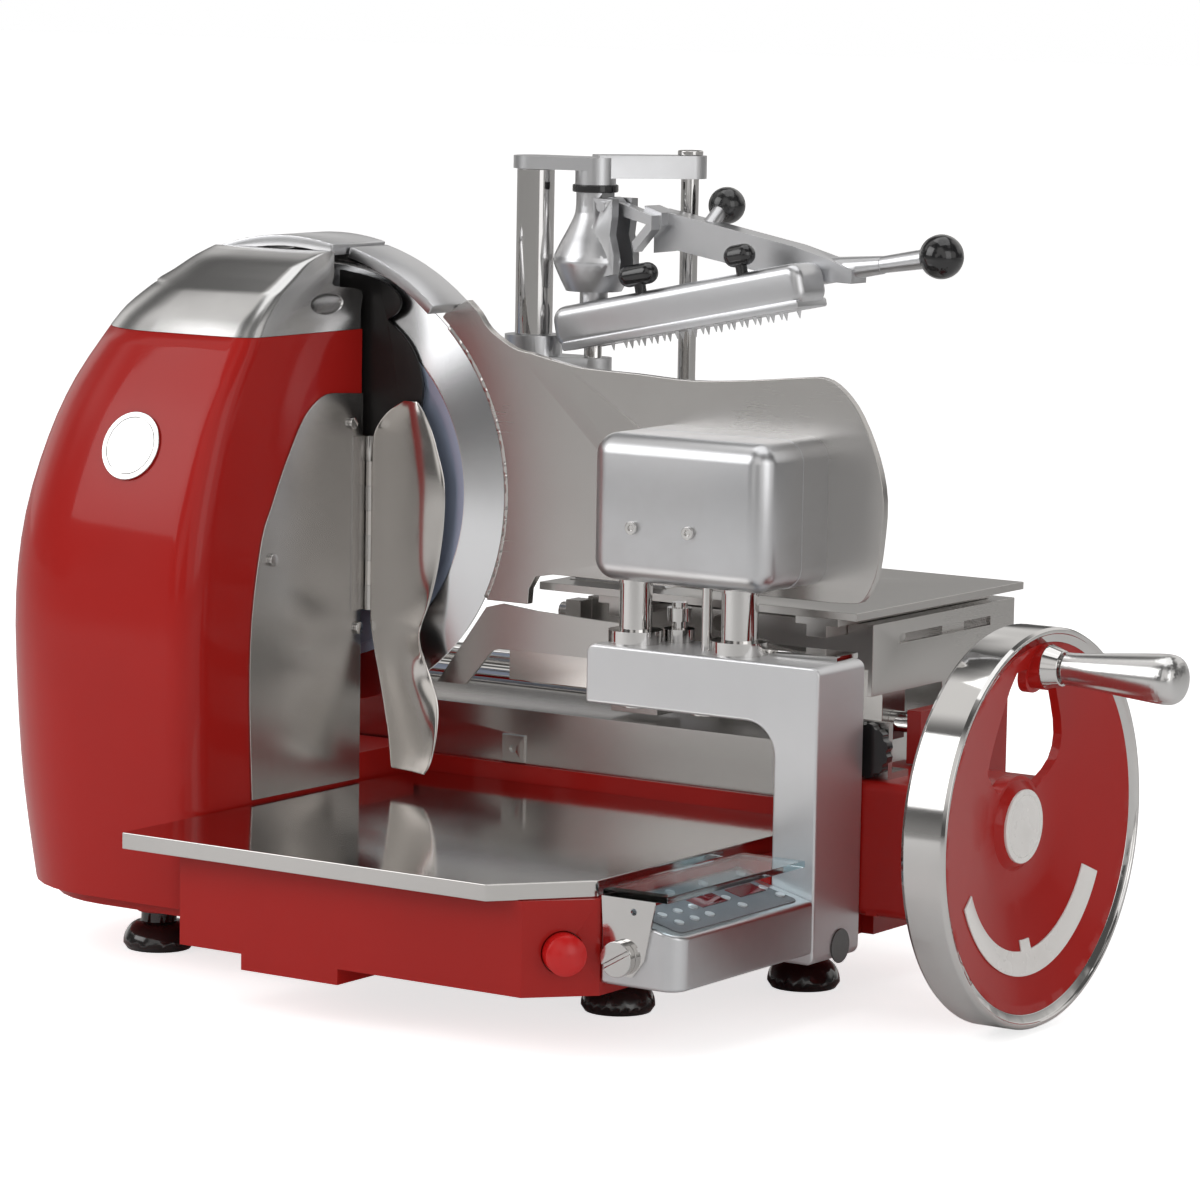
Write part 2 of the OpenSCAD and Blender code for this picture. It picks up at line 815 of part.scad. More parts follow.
module blade_housing() {
  rows = smooth(housing_shares, row_steps);
  inner = concat([[2 * housing_wall / housing_h, rows[0][1], rows[0][2], rows[0][3]]],
    [for (r = rows) if (r[0] * housing_h > 3 * housing_wall) r]);
  color(red) placed()
    difference() {
      union() {
        difference() {
          loft(housing_stack(rows, 0, 0));
          loft(housing_stack(inner, housing_wall, -housing_wall));
          bar_y(cover_hinge_ys[1], cover_hinge_ys[2] - cover_hinge_ys[1], cover_hinge_x, cover_hinge_z,
            hinge_r + 2 * seat_gap);
        }
        for (i = [0, 2])
          hinge_knuckle(cover_hinge_ys[i], cover_hinge_ys[i + 1], cover_hinge_z - leaf_t - 2 * seat_gap,
            cover_hinge_z - 2 * seat_gap);
        bar_y(cover_hinge_ys[0], cover_hinge_ys[3] - cover_hinge_ys[0], cover_hinge_x, cover_hinge_z, hinge_pin_r);
        bar_y(pulley_y + pulley_w / 2 + 3 * seat_gap, -housing_back - housing_wall / 2 - pulley_y - pulley_w / 2 - 3 * seat_gap, 0, axis_z,
          blade_shaft_r + bearing_wall + boss_wall);
        bar_y(pulley_y + pulley_w / 2 + 3 * seat_gap, -housing_back - housing_wall / 2 - pulley_y - pulley_w / 2 - 3 * seat_gap, 0, lay_z,
          shaft_r + bearing_wall + boss_wall);
      }
      bar_y(pulley_y, -pulley_y, 0, axis_z, blade_shaft_r + bearing_wall);
      bar_y(pulley_y, -pulley_y, 0, lay_z, shaft_r + bearing_wall);
    }
}

module housing_badge() {
  color(bright) placed()
    translate([badge_x, -housing_front * 0.893, badge_z])
      rotate([90 - badge_tilt, 0, 0])
        translate([0, 0, -seat_gap])
          cylinder(h = badge_t + seat_gap, r = badge_r);
}

// Barrel and leaf of the cover hinge, from one place to another along the left end of the seam
module hinge_knuckle(from, to, leaf_low, leaf_high) {
  bar_y(from, to - from, cover_hinge_x, cover_hinge_z, hinge_r);
  block([cover_hinge_x, from, leaf_low], [cover_hinge_x + hinge_r + housing_wall, to, leaf_high]);
}

module sharpener_cover() {
  rows = smooth(cover_shares, row_steps);
  inner = [for (r = rows) if ((r[0] - rows[0][0]) * housing_h > 2 * housing_wall) r];
  color(bright) placed() {
    loft(concat(reversed(housing_stack(inner, housing_wall, seat_gap - housing_wall)),
      housing_stack([rows[0]], housing_wall, seat_gap), housing_stack(rows, 0, seat_gap)));
    difference() {
      hinge_knuckle(cover_hinge_ys[1] + seat_gap, cover_hinge_ys[2] - seat_gap, cover_hinge_z + seat_gap,
        cover_hinge_z + leaf_t + seat_gap);
      bar_y(cover_hinge_ys[0], cover_hinge_ys[3] - cover_hinge_ys[0], cover_hinge_x, cover_hinge_z,
        hinge_pin_r + run_clear);
    }
  }
}

module sharpener() {
  color(dark) placed() {
    block([-stone_gap - stone_r, stone_y, seam_z], [stone_gap + stone_r, stone_y + stone_t, seam_z + stone_t]);
    for (x = [-stone_gap, stone_gap]) {
      bar_z(seam_z + stone_t, stone_rise, x, stone_y + stone_t / 2, stone_t / 4);
      bar_y(stone_y, stone_t / 2, x, seam_z + stone_t + stone_rise, stone_r);
      bar_y(stone_y + stone_t / 2, stone_t / 2, x, seam_z + stone_t + stone_rise, stone_t / 3);
    }
  }
}

// Part of a ring round the blade axis, in degrees from the right over the top
module ring_part(start, sweep, r_in, r_out, front, back) {
  translate([0, back, axis_z])
    rotate([90, 0, 0])
      rotate([0, 0, start])
        rotate_extrude(angle = sweep)
          translate([r_in, 0])
            square([r_out - r_in, back - front]);
}

module cover_visor() {
  color(bright) placed() {
    ring_part(visor_start, visor_sweep, visor_in_r, visor_in_r + visor_t, visor_front_y, visor_back_y);
  }
}

module ring_guard() {
  r = blade_r + ring_gap;
  color(bright) placed() {
    translate([0, 0, axis_z])
      rotate([90, 0, 0])
        rotate([0, 0, ring_start])
          rotate_extrude(angle = ring_sweep)
            polygon([[r, ring_front_y], [r, -ring_front_y], [ring_in_r, -ring_front_y],
              [ring_in_r, -ring_front_y - ring_web_t], [ring_out_r - ring_web_t, -ring_front_y - ring_web_t],
              [ring_out_r - ring_web_t, -ring_back_y], [ring_out_r, -ring_back_y], [ring_out_r, ring_front_y]]);
    ring_part(ring_foot_start, ring_foot_sweep, r + over, ring_out_r - over, -housing_back, -ring_front_y);
  }
}

module inner_plate() {
  color(dark) placed() {
    along_y(inner_plate_y, inner_plate_t)
      translate([0, axis_z])
        polygon(inner_shares * inner_unit);
    for (s = standoff_shares)
      bar_y(-housing_back, inner_plate_y + housing_back, s[0] * inner_unit, axis_z + s[1] * inner_unit, standoff_r);
  }
}

module blade() {
  color(bright) placed()
    translate([0, 0, axis_z])
      rotate([-90, 0, 0])
        rotate_extrude($fn = 180)
          polygon([[blade_bore_r, blade_front_y + blade_recess_t], [blade_recess_r, blade_front_y + blade_recess_t],
            [blade_recess_r, blade_front_y], [blade_core_r, blade_front_y], [blade_r, -blade_edge_t],
            [blade_r, 0], [blade_hollow_r, 0], [blade_core_r, blade_back_y], [blade_bore_r, blade_back_y]]);
}

module blade_shaft() {
  front = pulley_y - pulley_w / 2 - 4;
  color(steel) placed() {
    bar_y(front, blade_back_y - front, 0, axis_z, blade_bore_r);
    bar_y(front + over, blade_front_y + blade_recess_t - front - over - 2.5, 0, axis_z, blade_shaft_r - run_clear);
    bar_y(blade_front_y + blade_recess_t - 2.6, 2.6, 0, axis_z, blade_shaft_r + 3);
    bar_y(blade_back_y, -blade_back_y - blade_edge_t, 0, axis_z, 2.6 * blade_shaft_r);
    pulley(pulley_high_r, axis_z);
  }
}

// Flanged pulley round an axis along Y at height z
module pulley(r, z) {
  bar_y(pulley_y - pulley_w / 2, pulley_w, 0, z, r);
  for (y = [pulley_y - pulley_w / 2, pulley_y + pulley_w / 2 - pulley_flange_t])
    bar_y(y, pulley_flange_t, 0, z, r + pulley_flange);
}

module drive_belt() {
  dz = axis_z - lay_z;
  tilt = asin((pulley_low_r - pulley_high_r) / dz);
  color(dark) placed()
    along_y(pulley_y - pulley_w / 2 + pulley_flange_t + 2 * seat_gap, pulley_w - 2 * pulley_flange_t - 4 * seat_gap)
      difference() {
        belt_loop(belt_t + seat_gap, dz, tilt);
        belt_loop(seat_gap, dz, tilt);
      }
}

// Outline round both pulleys, grown by g
module belt_loop(g, dz, tilt) {
  low = pulley_low_r + g;
  high = pulley_high_r + g;
  translate([0, lay_z])
    circle(r = low);
  translate([0, axis_z])
    circle(r = high);
  polygon([[low * cos(tilt), lay_z + low * sin(tilt)], [high * cos(tilt), axis_z + high * sin(tilt)],
    [-high * cos(tilt), axis_z + high * sin(tilt)], [-low * cos(tilt), lay_z + low * sin(tilt)]]);
}

// Bevel gear on the +Z axis, its large end at z = bevel_r from the shared corner
module bevel() {
  translate([0, 0, bevel_r])
    mirror([0, 0, 1])
      linear_extrude(cone_w, scale = (bevel_r - cone_w) / bevel_r)
        gear_outline(bevel_teeth, bevel_r, bevel_module * 0.9, bevel_module * 1.2);
}

module cross_shaft() {
  front = pulley_y - pulley_w / 2 - 4;
  color(steel) placed() {
    bar_y(front, lay_y - bevel_r - front, 0, lay_z, shaft_r);
    pulley(pulley_low_r, lay_z);
    translate([0, lay_y, lay_z])
      rotate([90, 0, 0])
        bevel();
  }
}

module layshaft() {
  color(steel) placed() {
    bar_x(bevel_r, gear_x + gear_t + 8 - bevel_r, lay_y, lay_z, shaft_r);
    translate([0, lay_y, lay_z])
      rotate([0, 90, 0])
        rotate([0, 0, 180 / bevel_teeth])
          bevel();
    gear_at(lay_y, lay_z, 0);
  }
}

// Spur gear round an axis along X
module gear_at(y, z, turn) {
  along_x(gear_x, gear_t)
    translate([y, z])
      rotate(turn - gear_fall)
        gear_outline(gear_teeth, gear_r, tooth_out, tooth_in);
}

module idler_gear() {
  color(brass) placed()
    difference() {
      gear_at(idler_y, idler_z, gear_mesh_turn);
      bar_x(gear_x - over, gear_t + 2 * over, idler_y, idler_z, shaft_r / 2 + run_clear);
    }
}

module flywheel_shaft() {
  color(steel) placed()
    union() {
      bar_x(gear_x - 30, wheel_face_x - rim_w / 2 - gear_x + 28, wheel_y, wheel_z, shaft_r);
      gear_at(wheel_y, wheel_z, 0);
    }
}

module bearings() {
  color(satin) placed() {
    for (y = [pulley_y + pulley_w / 2 + 6 * seat_gap, -housing_back - bearing_t])
      ring_y(y, axis_z, blade_shaft_r);
    for (y = [pulley_y + pulley_w / 2 + 6 * seat_gap, -housing_back - bearing_t])
      ring_y(y, lay_z, shaft_r);
    ring_x(rear_right - cast_wall, cast_wall + gear_box_wall, lay_y, lay_z);
    ring_x(gear_box_right - gear_box_wall - 4, gear_box_wall + 4, wheel_y, wheel_z);
    ring_x(gear_x - 28, bearing_t, wheel_y, wheel_z);
  }
}

module ring_y(y, z, r) {
  difference() {
    bar_y(y, bearing_t, 0, z, r + bearing_wall);
    bar_y(y - over, bearing_t + 2 * over, 0, z, r + run_clear);
  }
}

module ring_x(x, len, y, z) {
  difference() {
    bar_x(x, len, y, z, shaft_r + bearing_wall);
    bar_x(x - over, len + 2 * over, y, z, shaft_r + run_clear);
  }
}

module gear_housing() {
  color(red) placed()
    difference() {
      union() {
        difference() {
          along_x(rear_right, gear_box_right - rear_right)
            soft_rect([gear_box_front, gear_box_bottom], [gear_box_back, gear_box_top], gear_box_corner);
          along_x(rear_right + gear_box_wall, gear_box_right - rear_right - 2 * gear_box_wall)
            soft_rect([gear_box_front + gear_box_wall, gear_box_bottom + gear_box_wall],
              [gear_box_back - gear_box_wall, gear_box_top - gear_box_wall / 2], gear_box_corner / 2);
        }
        bar_x(gear_x - 28, bearing_t, wheel_y, wheel_z, shaft_r + bearing_wall + 3);
        block([gear_x - 28, gear_box_front + over, gear_box_bottom + over],
          [gear_x - 18, gear_box_back / 2, wheel_z - shaft_r - bearing_wall]);
        bar_x(gear_x - 28, 28 + gear_t, idler_y, idler_z, shaft_r / 2);
      }
      bar_x(rear_right - over, gear_box_wall + 2 * over, lay_y, lay_z, shaft_r + bearing_wall);
      bar_x(gear_x - 28 - over, gear_box_right, wheel_y, wheel_z, shaft_r + bearing_wall);
    }
}

module side_plate() {
  outline = concat([[side_right_y, side_bottom], [side_right_y, axis_z + side_shares[0][1] * side_unit]],
    [for (s = smooth(side_shares, row_steps)) [s[0] * side_unit, axis_z + s[1] * side_unit]]);
  color(satin) placed()
    along_x(housing_side, plate_t)
      polygon(outline);
}

module fixed_screws() {
  color(bright) placed() {
    for (s = side_screws)
      bar_x(housing_side + plate_t, screw_h, s[0] * side_unit, axis_z + s[1] * side_unit, screw_r);
    for (x = arm_bolt_xs)
      bar_z(arm_low - arm_bolt_h, arm_bolt_h, x, post_y, arm_bolt_r);
    difference() {
      bar_y(-panel_front - bracket_t - bracket_screw_h, bracket_screw_h, bracket_screw_x, bracket_screw_z,
        bracket_screw_r);
      translate([bracket_screw_x, -panel_front - bracket_t - bracket_screw_h, bracket_screw_z])
        rotate([0, 60, 0])
          cube([3, 4, 3 * bracket_screw_r], center = true);
    }
  }
}

module hinge_leaf() {
  h = (hinge_high - hinge_low) / hinge_parts;
  color(bright) placed() {
    bar_z(hinge_low, hinge_high - hinge_low, hinge_x, hinge_y, hinge_pin_r);
    for (i = [0:2:hinge_parts - 1])
      bar_z(hinge_low + i * h, h - seat_gap, hinge_x, hinge_y, hinge_r);
    for (i = [0:2:hinge_parts - 1])
      block([housing_side + plate_t, hinge_y - leaf_t / 2, hinge_low + i * h],
        [hinge_x, hinge_y + leaf_t / 2, hinge_low + (i + 1) * h - seat_gap]);
    block([housing_side + plate_t, -housing_back - leaf_w, hinge_low],
      [housing_side + plate_t + leaf_t, hinge_y, hinge_high]);
  }
}

module deflector() {
  h = (hinge_high - hinge_low) / hinge_parts;
  rows = smooth(deflector_shares, row_steps);
  color(bright) placed()
    difference() {
      union() {
        loft([for (r = rows)
          let (z = axis_z + r[0] * deflector_unit, a = r[1] * deflector_unit, b = r[2] * deflector_unit,
            y = r[3] * deflector_unit, q = (a + b) / 2)
            [[a, y, z], [q, y - deflector_t, z], [b, y, z], [b, y + deflector_t, z],
              [q, y, z], [a, y + deflector_t, z]]]);
        for (i = [1:2:hinge_parts - 1])
          bar_z(hinge_low + i * h, h - seat_gap, hinge_x, hinge_y, hinge_r);
        for (i = [1:2:hinge_parts - 1])
          block([hinge_x, hinge_y - leaf_t, hinge_low + i * h],
            [hinge_x + 2 * hinge_r, hinge_y, hinge_low + (i + 1) * h - seat_gap]);
      }
      bar_z(hinge_low - over, hinge_high - hinge_low + 2 * over, hinge_x, hinge_y, hinge_pin_r + run_clear);
      for (i = [0:2:hinge_parts - 1])
        bar_z(hinge_low + i * h - seat_gap, h + seat_gap, hinge_x, hinge_y, hinge_r + 2 * seat_gap);
    }
}

module gauge_outline() {
  polygon(concat([for (s = smooth(gauge_top_shares, row_steps)) [s[0] * gauge_unit, axis_z + s[1] * gauge_unit]],
    [for (s = gauge_low_shares) [s[0] * gauge_unit, axis_z + s[1] * gauge_unit]]));
}

module gauge_plate() {
  color(satin) placed()
    difference() {
      union() {
        along_y(-gauge_t, gauge_t)
          difference() {
            gauge_outline();
            translate([0, axis_z])
              circle(r = blade_r + gauge_gap, $fn = 180);
          }
        for (x = [post_left_x, post_right_x])
          bar_y(boss_front, -boss_front - gauge_t / 2, x, post_pin_z, boss_r);
      }
      for (x = [post_left_x, post_right_x])
        bar_y(boss_front - over, -boss_front - gauge_t + over, x, post_pin_z, post_pin_r + run_clear);
    }
}

// Cover outline in X and Z, made smaller by inset
module gauge_cover_outline(inset) {
  soft_rect([gauge_cover_x + inset, gauge_cover_low + inset],
    [gauge_cover_x + gauge_cover_w - inset, gauge_cover_low + gauge_cover_h - inset], gauge_cover_corner - inset);
}

// Room for the posts in the floor of the cover, over the travel of the gauge plate
module post_room() {
  for (p = [[post_left_x, post_left_r], [post_right_x, post_right_r], [thin_post_x, thin_post_r]])
    for (y = [post_y, post_y + gauge_travel])
      bar_z(gauge_cover_low - over, 0.66 * gauge_cover_corner + over, p[0], y, p[1] + over);
  for (p = [[post_left_x, post_left_r], [post_right_x, post_right_r], [thin_post_x, thin_post_r]])
    block([p[0] - p[1] - over, post_y, gauge_cover_low - over],
      [p[0] + p[1] + over, post_y + gauge_travel, gauge_cover_low + 0.66 * gauge_cover_corner]);
}

module soft_cover(inset) {
  r = gauge_cover_corner - inset;
  hull()
    for (x = [gauge_cover_x + inset + r, gauge_cover_x + gauge_cover_w - inset - r])
      for (z = [gauge_cover_low + inset + r, gauge_cover_low + gauge_cover_h - inset - r]) {
        translate([x, -gauge_cover_front + inset + r, z])
          sphere(r = r, $fn = 32);
        bar_y(-gauge_cover_split - over, over + inset, x, z, r, $fn = 32);
      }
}

module gauge_cover_front() {
  color(satin) placed()
    difference() {
      soft_cover(0);
      soft_cover(gauge_cover_wall);
      post_room();
    }
}

module gauge_cover_back() {
  color(satin) placed()
    difference() {
      along_y(-gauge_cover_split, gauge_cover_split - gauge_t)
        gauge_cover_outline(-seat_gap);
      along_y(-gauge_cover_split - over, gauge_cover_split - gauge_t + 2 * over)
        gauge_cover_outline(gauge_cover_wall);
      post_room();
    }
}

module cover_screws() {
  color(bright) placed()
    for (x = gauge_screw_xs)
      difference() {
        bar_y(-gauge_cover_front - screw_h, screw_h, x, gauge_screw_z, screw_r);
        bar_y(-gauge_cover_front - screw_h - over, screw_h / 2 + over, x, gauge_screw_z, screw_r / 2, $fn = 6);
      }
}

module gauge_posts() {
  color(bright) placed() {
    arm_top_plate();
    for (p = [[post_left_x, post_left_r], [post_right_x, post_right_r]]) {
      bar_z(arm_top_h, gauge_cover_low + gauge_cover_wall - arm_top_h, p[0], post_y, p[1]);
      bar_z(arm_top_h, collar_h, p[0], post_y, p[1] + collar_wall);
      bar_z(gauge_cover_low - collar_h / 2, collar_h / 3, p[0], post_y, p[1] + 0.8);
      bar_z(gauge_cover_low, post_top - gauge_cover_low, p[0], post_y, post_neck_r);
      bar_y(post_y, post_pin_end - post_y, p[0], post_pin_z, post_pin_r);
    }
    bar_z(arm_top_h, gauge_cover_low + gauge_cover_wall - arm_top_h, thin_post_x, post_y, thin_post_r);
    bar_z(arm_top_h, collar_h, small_knob_x, small_knob_y, small_knob_r);
    bar_z(arm_top_h, 3 * collar_h, small_knob_x, small_knob_y, small_knob_r / 2);
    bar_z(arm_top_h + 1.6 * collar_h, collar_h, small_knob_x, small_knob_y, small_knob_r * 0.8);
  }
}

module arm_column() {
  r = arm_corner;
  color(bright) placed()
    along_y(-column_front, column_depth)
      difference() {
        soft_rect([arm_left, base_lift], [column_right, arm_top_h], r);
        difference() {
          translate([arm_left - over, base_lift - over])
            square([column_left - arm_left + over, arm_low - base_lift + over]);
          translate([column_left - arm_fillet, arm_low - arm_fillet])
            difference() {
              square([arm_fillet + over, arm_fillet + over]);
              circle(r = arm_fillet);
            }
        }
      }
}

// Bright plate along the rear of the arm
module arm_top_plate() {
      block([column_right - top_plate_len, -arm_back - top_plate_w, arm_top_h],
        [column_right - arm_corner, -arm_back, arm_top_h + top_plate_t]);
}

module column_plug() {
  color(rubber) placed()
    bar_x(column_right, plug_t, plug_y, plug_z, plug_r);
}

module lower_guard() {
  color(satin) placed() {
    along_y(guard_y, guard_t)
      polygon([for (s = guard_shares) [s[0] * gauge_unit, axis_z + s[1] * gauge_unit]]);
    block([guard_bar_x, guard_y + guard_t, guard_bar_low],
      [guard_bar_x + guard_bar_len, guard_y + guard_t + guard_bar_t, guard_bar_low + guard_bar_h]);
    block([arm_left + over, -arm_back, guard_bar_low], [guard_bar_x + guard_bar_len, guard_y + guard_t + over,
      guard_bar_low + guard_bar_h]);
  }
}

function tray_outline(inset) = [
  [housing_side + tray_gap + inset, -tray_reach + inset],
  [housing_side + tray_gap + tray_w - tray_corner_w - inset / 2, -tray_reach + inset],
  [housing_side + tray_gap + tray_w - inset, -tray_reach + 1.2 * tray_corner_w + inset / 2],
  [housing_side + tray_gap + tray_w - inset, -column_front - seat_gap],
  [housing_side + tray_gap + tray_w - inset, deck_back - 2 * over],
  [housing_side + tray_gap + inset, deck_back - 2 * over]];

module receiving_tray() {
  color(bright) placed()
    difference() {
      translate([0, 0, tray_h - tray_edge])
        linear_extrude(tray_edge)
          polygon(tray_outline(0));
      translate([0, 0, tray_h - tray_edge - over])
        linear_extrude(tray_edge - tray_t + over)
          polygon(tray_outline(tray_t));
      block([bridge_x, -housing_back - over, tray_h - tray_edge - over],
        [base_right, deck_back + over, tray_h - tray_t]);
    }
}

module rail_cover() {
  color(satin) placed() {
    difference() {
      block([-cover_left, cover_front_y, rear_top], [cover_right, cover_back_y, rail_cover_top]);
      block([-cover_left + rail_cover_t, cover_front_y + rail_cover_t, rear_top + rail_cover_t],
        [cover_right - rail_cover_t, cover_back_y - rail_cover_t, rail_cover_top - rail_cover_t]);
    }
    difference() {
      block([tab_x, cover_front_y - rail_cover_t, rear_top + over],
        [tab_x + tab_w, cover_front_y, rear_top + over + tab_h]);
      bar_y(cover_front_y - 2 * rail_cover_t, 2 * rail_cover_t - seat_gap, tab_x + tab_w / 2, rear_top + tab_h / 2 + over, 3);
    }
  }
}

module panel_box() {
  color(bright) placed()
    intersection() {
      along_y(-panel_front, panel_len)
        polygon([[panel_x, panel_low], [column_right, panel_low], [column_right, panel_side_top],
          [panel_x, panel_side_top + panel_rise]]);
      translate([0, 0, panel_low - over])
        linear_extrude(panel_side_h + panel_rise + 2 * over)
          soft_corner([panel_x, -panel_front], [column_right, -panel_back], panel_corner);
    }
}

// Plan rectangle with its front right corner rounded
module soft_corner(low, high, r) {
  translate([low[0], low[1] + r])
    square([high[0] - low[0], high[1] - low[1] - r]);
  translate(low)
    square([high[0] - low[0] - r, r + over]);
  translate([high[0] - r, low[1] + r])
    circle(r = r);
}

// Frame on the sloping panel top: X across it from its right edge, Y from its front
module panel_pose() {
  translate([column_right, -panel_front, panel_side_top])
    rotate([0, panel_angle, 0])
      children();
}

module panel_overlay() {
  w = panel_w / cos(panel_angle);
  color(satin) placed()
    panel_pose()
      linear_extrude(overlay_t)
        soft_rect([-w + overlay_inset, 2 * overlay_inset], [-overlay_inset, panel_len - 2 * overlay_inset], overlay_inset);
}

module panel_windows() {
  w = panel_w / cos(panel_angle);
  color(display_red) placed()
    panel_pose() {
      for (y = [0.42, 0.7])
        translate([-w * 0.66, panel_len * y, overlay_t])
          cube([window_w, window_len, window_t]);
      for (y = [0.16, 0.27, 0.38, 0.62, 0.9])
        for (x = [0.28, 0.5, 0.8])
          translate([-w * x, panel_len * y, overlay_t])
            cylinder(h = key_t, r = key_r);
    }
}

module shield_bracket() {
  color(bright) placed()
    difference() {
      union() {
        along_y(-panel_front - bracket_t, bracket_t)
          polygon([[panel_x + 2, shield_low - seat_gap], [panel_x + 2 + bracket_top_w, shield_low - seat_gap],
            [bracket_screw_x + bracket_low_w, bracket_screw_z], [bracket_screw_x + bracket_low_w / 2, bracket_screw_z - bracket_screw_r],
            [bracket_screw_x - bracket_low_w / 2, bracket_screw_z - bracket_screw_r], [bracket_screw_x - bracket_low_w / 1.4, bracket_screw_z]]);
        block([panel_x + 2, -panel_front - bracket_t, shield_low - bracket_t],
          [panel_x + 2 + bracket_top_w, -panel_front + 14, shield_low]);
      }
      bar_y(-panel_front - bracket_t - over, bracket_t + 2 * over, panel_x + 2 + bracket_top_w * 0.6,
        shield_low - 9, 2.5);
    }
}

module shield() {
  color(clear) placed()
    block([shield_left, -shield_front, shield_low], [shield_right, -column_front - seat_gap, shield_low + shield_t]);
}

module thickness_bracket() {
  color(satin) placed()
    difference() {
      union() {
        block([bracket_x, knob_bracket_y, gear_box_top], [bracket_x + knob_bracket_w, knob_bracket_y + 6, knob_z + knob_r]);
        block([bracket_x, knob_bracket_y, gear_box_top], [bracket_x + knob_bracket_w, knob_bracket_y + 30, gear_box_top + 5]);
      }
      bar_y(knob_bracket_y - over, 6 + 2 * over, knob_x + 8, knob_z, knob_pin_r + run_clear);
    }
}

module thickness_knob() {
  color(dark) placed() {
    difference() {
      bar_y(knob_front, knob_t, knob_x + 8, knob_z, knob_r);
      for (a = [0:30:330])
        bar_y(knob_front - over, knob_t + 2 * over, knob_x + 8 + knob_r * 1.08 * cos(a), knob_z + knob_r * 1.08 * sin(a), 3.5,
          $fn = 24);
    }
    bar_y(knob_front + knob_t, 12, knob_x + 8, knob_z, knob_pin_r);
  }
}

module carriage_rails() {
  color(bright) placed()
    for (y = rail_ys)
      bar_x(rail_left, rail_right - rail_left, y, rail_z, rail_r);
}

module rail_brackets() {
  color(red) placed()
    for (x = [rail_left, rail_right - rail_bracket_t])
      difference() {
        union() {
          block([x, rail_ys[0] - 22, gear_box_top + over], [x + rail_bracket_t, rail_ys[1] + 22, rail_z + rail_r + 5]);
          block([x, gear_box_back + 2, rear_top], [x + rail_bracket_t, rail_ys[1] + 22, gear_box_top + 2 * over]);
          if (x > 0)
            block([rear_right - 30, gear_box_back + 2, rear_top], [x + over, rail_ys[1] + 22, rear_top + 12]);
          if (x < 0)
            block([x, gear_box_back + 2, rear_top - 20], [-rear_left, rail_ys[1] + 22, rear_top + over]);
        }
        for (y = rail_ys)
          bar_x(x - over, rail_bracket_t + 2 * over, y, rail_z, rail_r);
      }
}

module carriage_body() {
  color(satin) placed()
    difference() {
      union() {
        block([table_left + 12, skirt_front, carriage_top - 12], [skirt_x, skirt_back, carriage_top]);
        block([skirt_x - skirt_t, skirt_front, skirt_low], [skirt_x, skirt_back, carriage_top]);
        block([table_left + 12, skirt_back - skirt_t, skirt_low + 20], [skirt_x, skirt_back, carriage_top]);
        block([table_left + 12, skirt_front, skirt_low + 20], [skirt_x, skirt_front + skirt_t, carriage_top]);
        for (x = [table_left + 20, skirt_x - skirt_t - truck_len])
          for (y = rail_ys)
            block([x, y - truck_w / 2, truck_low], [x + truck_len, y + truck_w / 2, carriage_top - over]);
        bar_x(table_left - 6, 22, skirt_front - 8, carriage_top - 12, 7);
        block([table_left + 2, skirt_front - 16, carriage_top - 22], [table_left + 16, skirt_front + over, carriage_top - 2]);
      }
      for (y = rail_ys)
        bar_x(table_left - over, table_w, y, rail_z, rail_r + run_clear);
      for (s = guide_shares)
        block([table_left + s * table_w - seat_gap, skirt_front - over, carriage_top - guide_h],
          [table_left + s * table_w + guide_w + seat_gap, skirt_back + over, carriage_top + over]);
      block([skirt_x - skirt_t - over, slot_front, slot_low - 6], [skirt_x + over, slot_back, slot_low + slot_h - 12]);
      bar_y(skirt_front - over, skirt_back, (table_left + skirt_x) / 2, feed_rod_z, feed_rod_r + run_clear);
      block([(table_left + skirt_x) / 2 - 16, skirt_front + 3 * skirt_t, carriage_top - 13],
        [(table_left + skirt_x) / 2 + 16, skirt_back - 3 * skirt_t, carriage_top + over]);
    }
}

module feed_rod() {
  color(steel) placed()
    bar_y(skirt_front - 3, skirt_back - skirt_front + 2, (table_left + skirt_x) / 2, feed_rod_z, feed_rod_r);
}

module meat_table() {
  color(satin) placed()
    difference() {
      union() {
        block([table_left, table_front, table_h - table_t], [table_right, table_back, table_h]);
        block([table_left + foot_x - pad_rim, post_y2 - foot_d2 / 2 - pad_rim, table_h - over],
          [table_left + foot_x + foot_w + pad_rim, post_y2 + foot_d2 / 2 + pad_rim, table_h + pad_t]);
        for (s = guide_shares)
          block([table_left + s * table_w, table_front + 20, carriage_top - guide_h + seat_gap],
            [table_left + s * table_w + guide_w, table_back - 5, table_h - table_t / 2]);
        for (s = guide_shares)
          block([table_left + s * table_w - 10, table_front + 20, carriage_top + seat_gap],
            [table_left + s * table_w + guide_w + 10, table_back - 5, table_h - table_t / 2]);
        block([(table_left + skirt_x) / 2 - lug_w / 2, lug_y, feed_rod_z - 1.6 * feed_rod_r],
          [(table_left + skirt_x) / 2 + lug_w / 2, lug_y + lug_w, table_h - table_t / 2]);
      }
      bar_z(table_h - table_t - over, table_t + 2 * over, thin_x, thin_y, clamp_rod_r);
      bar_y(lug_y - over, lug_w + 2 * over, (table_left + skirt_x) / 2, feed_rod_z, feed_rod_r + run_clear);
    }
}

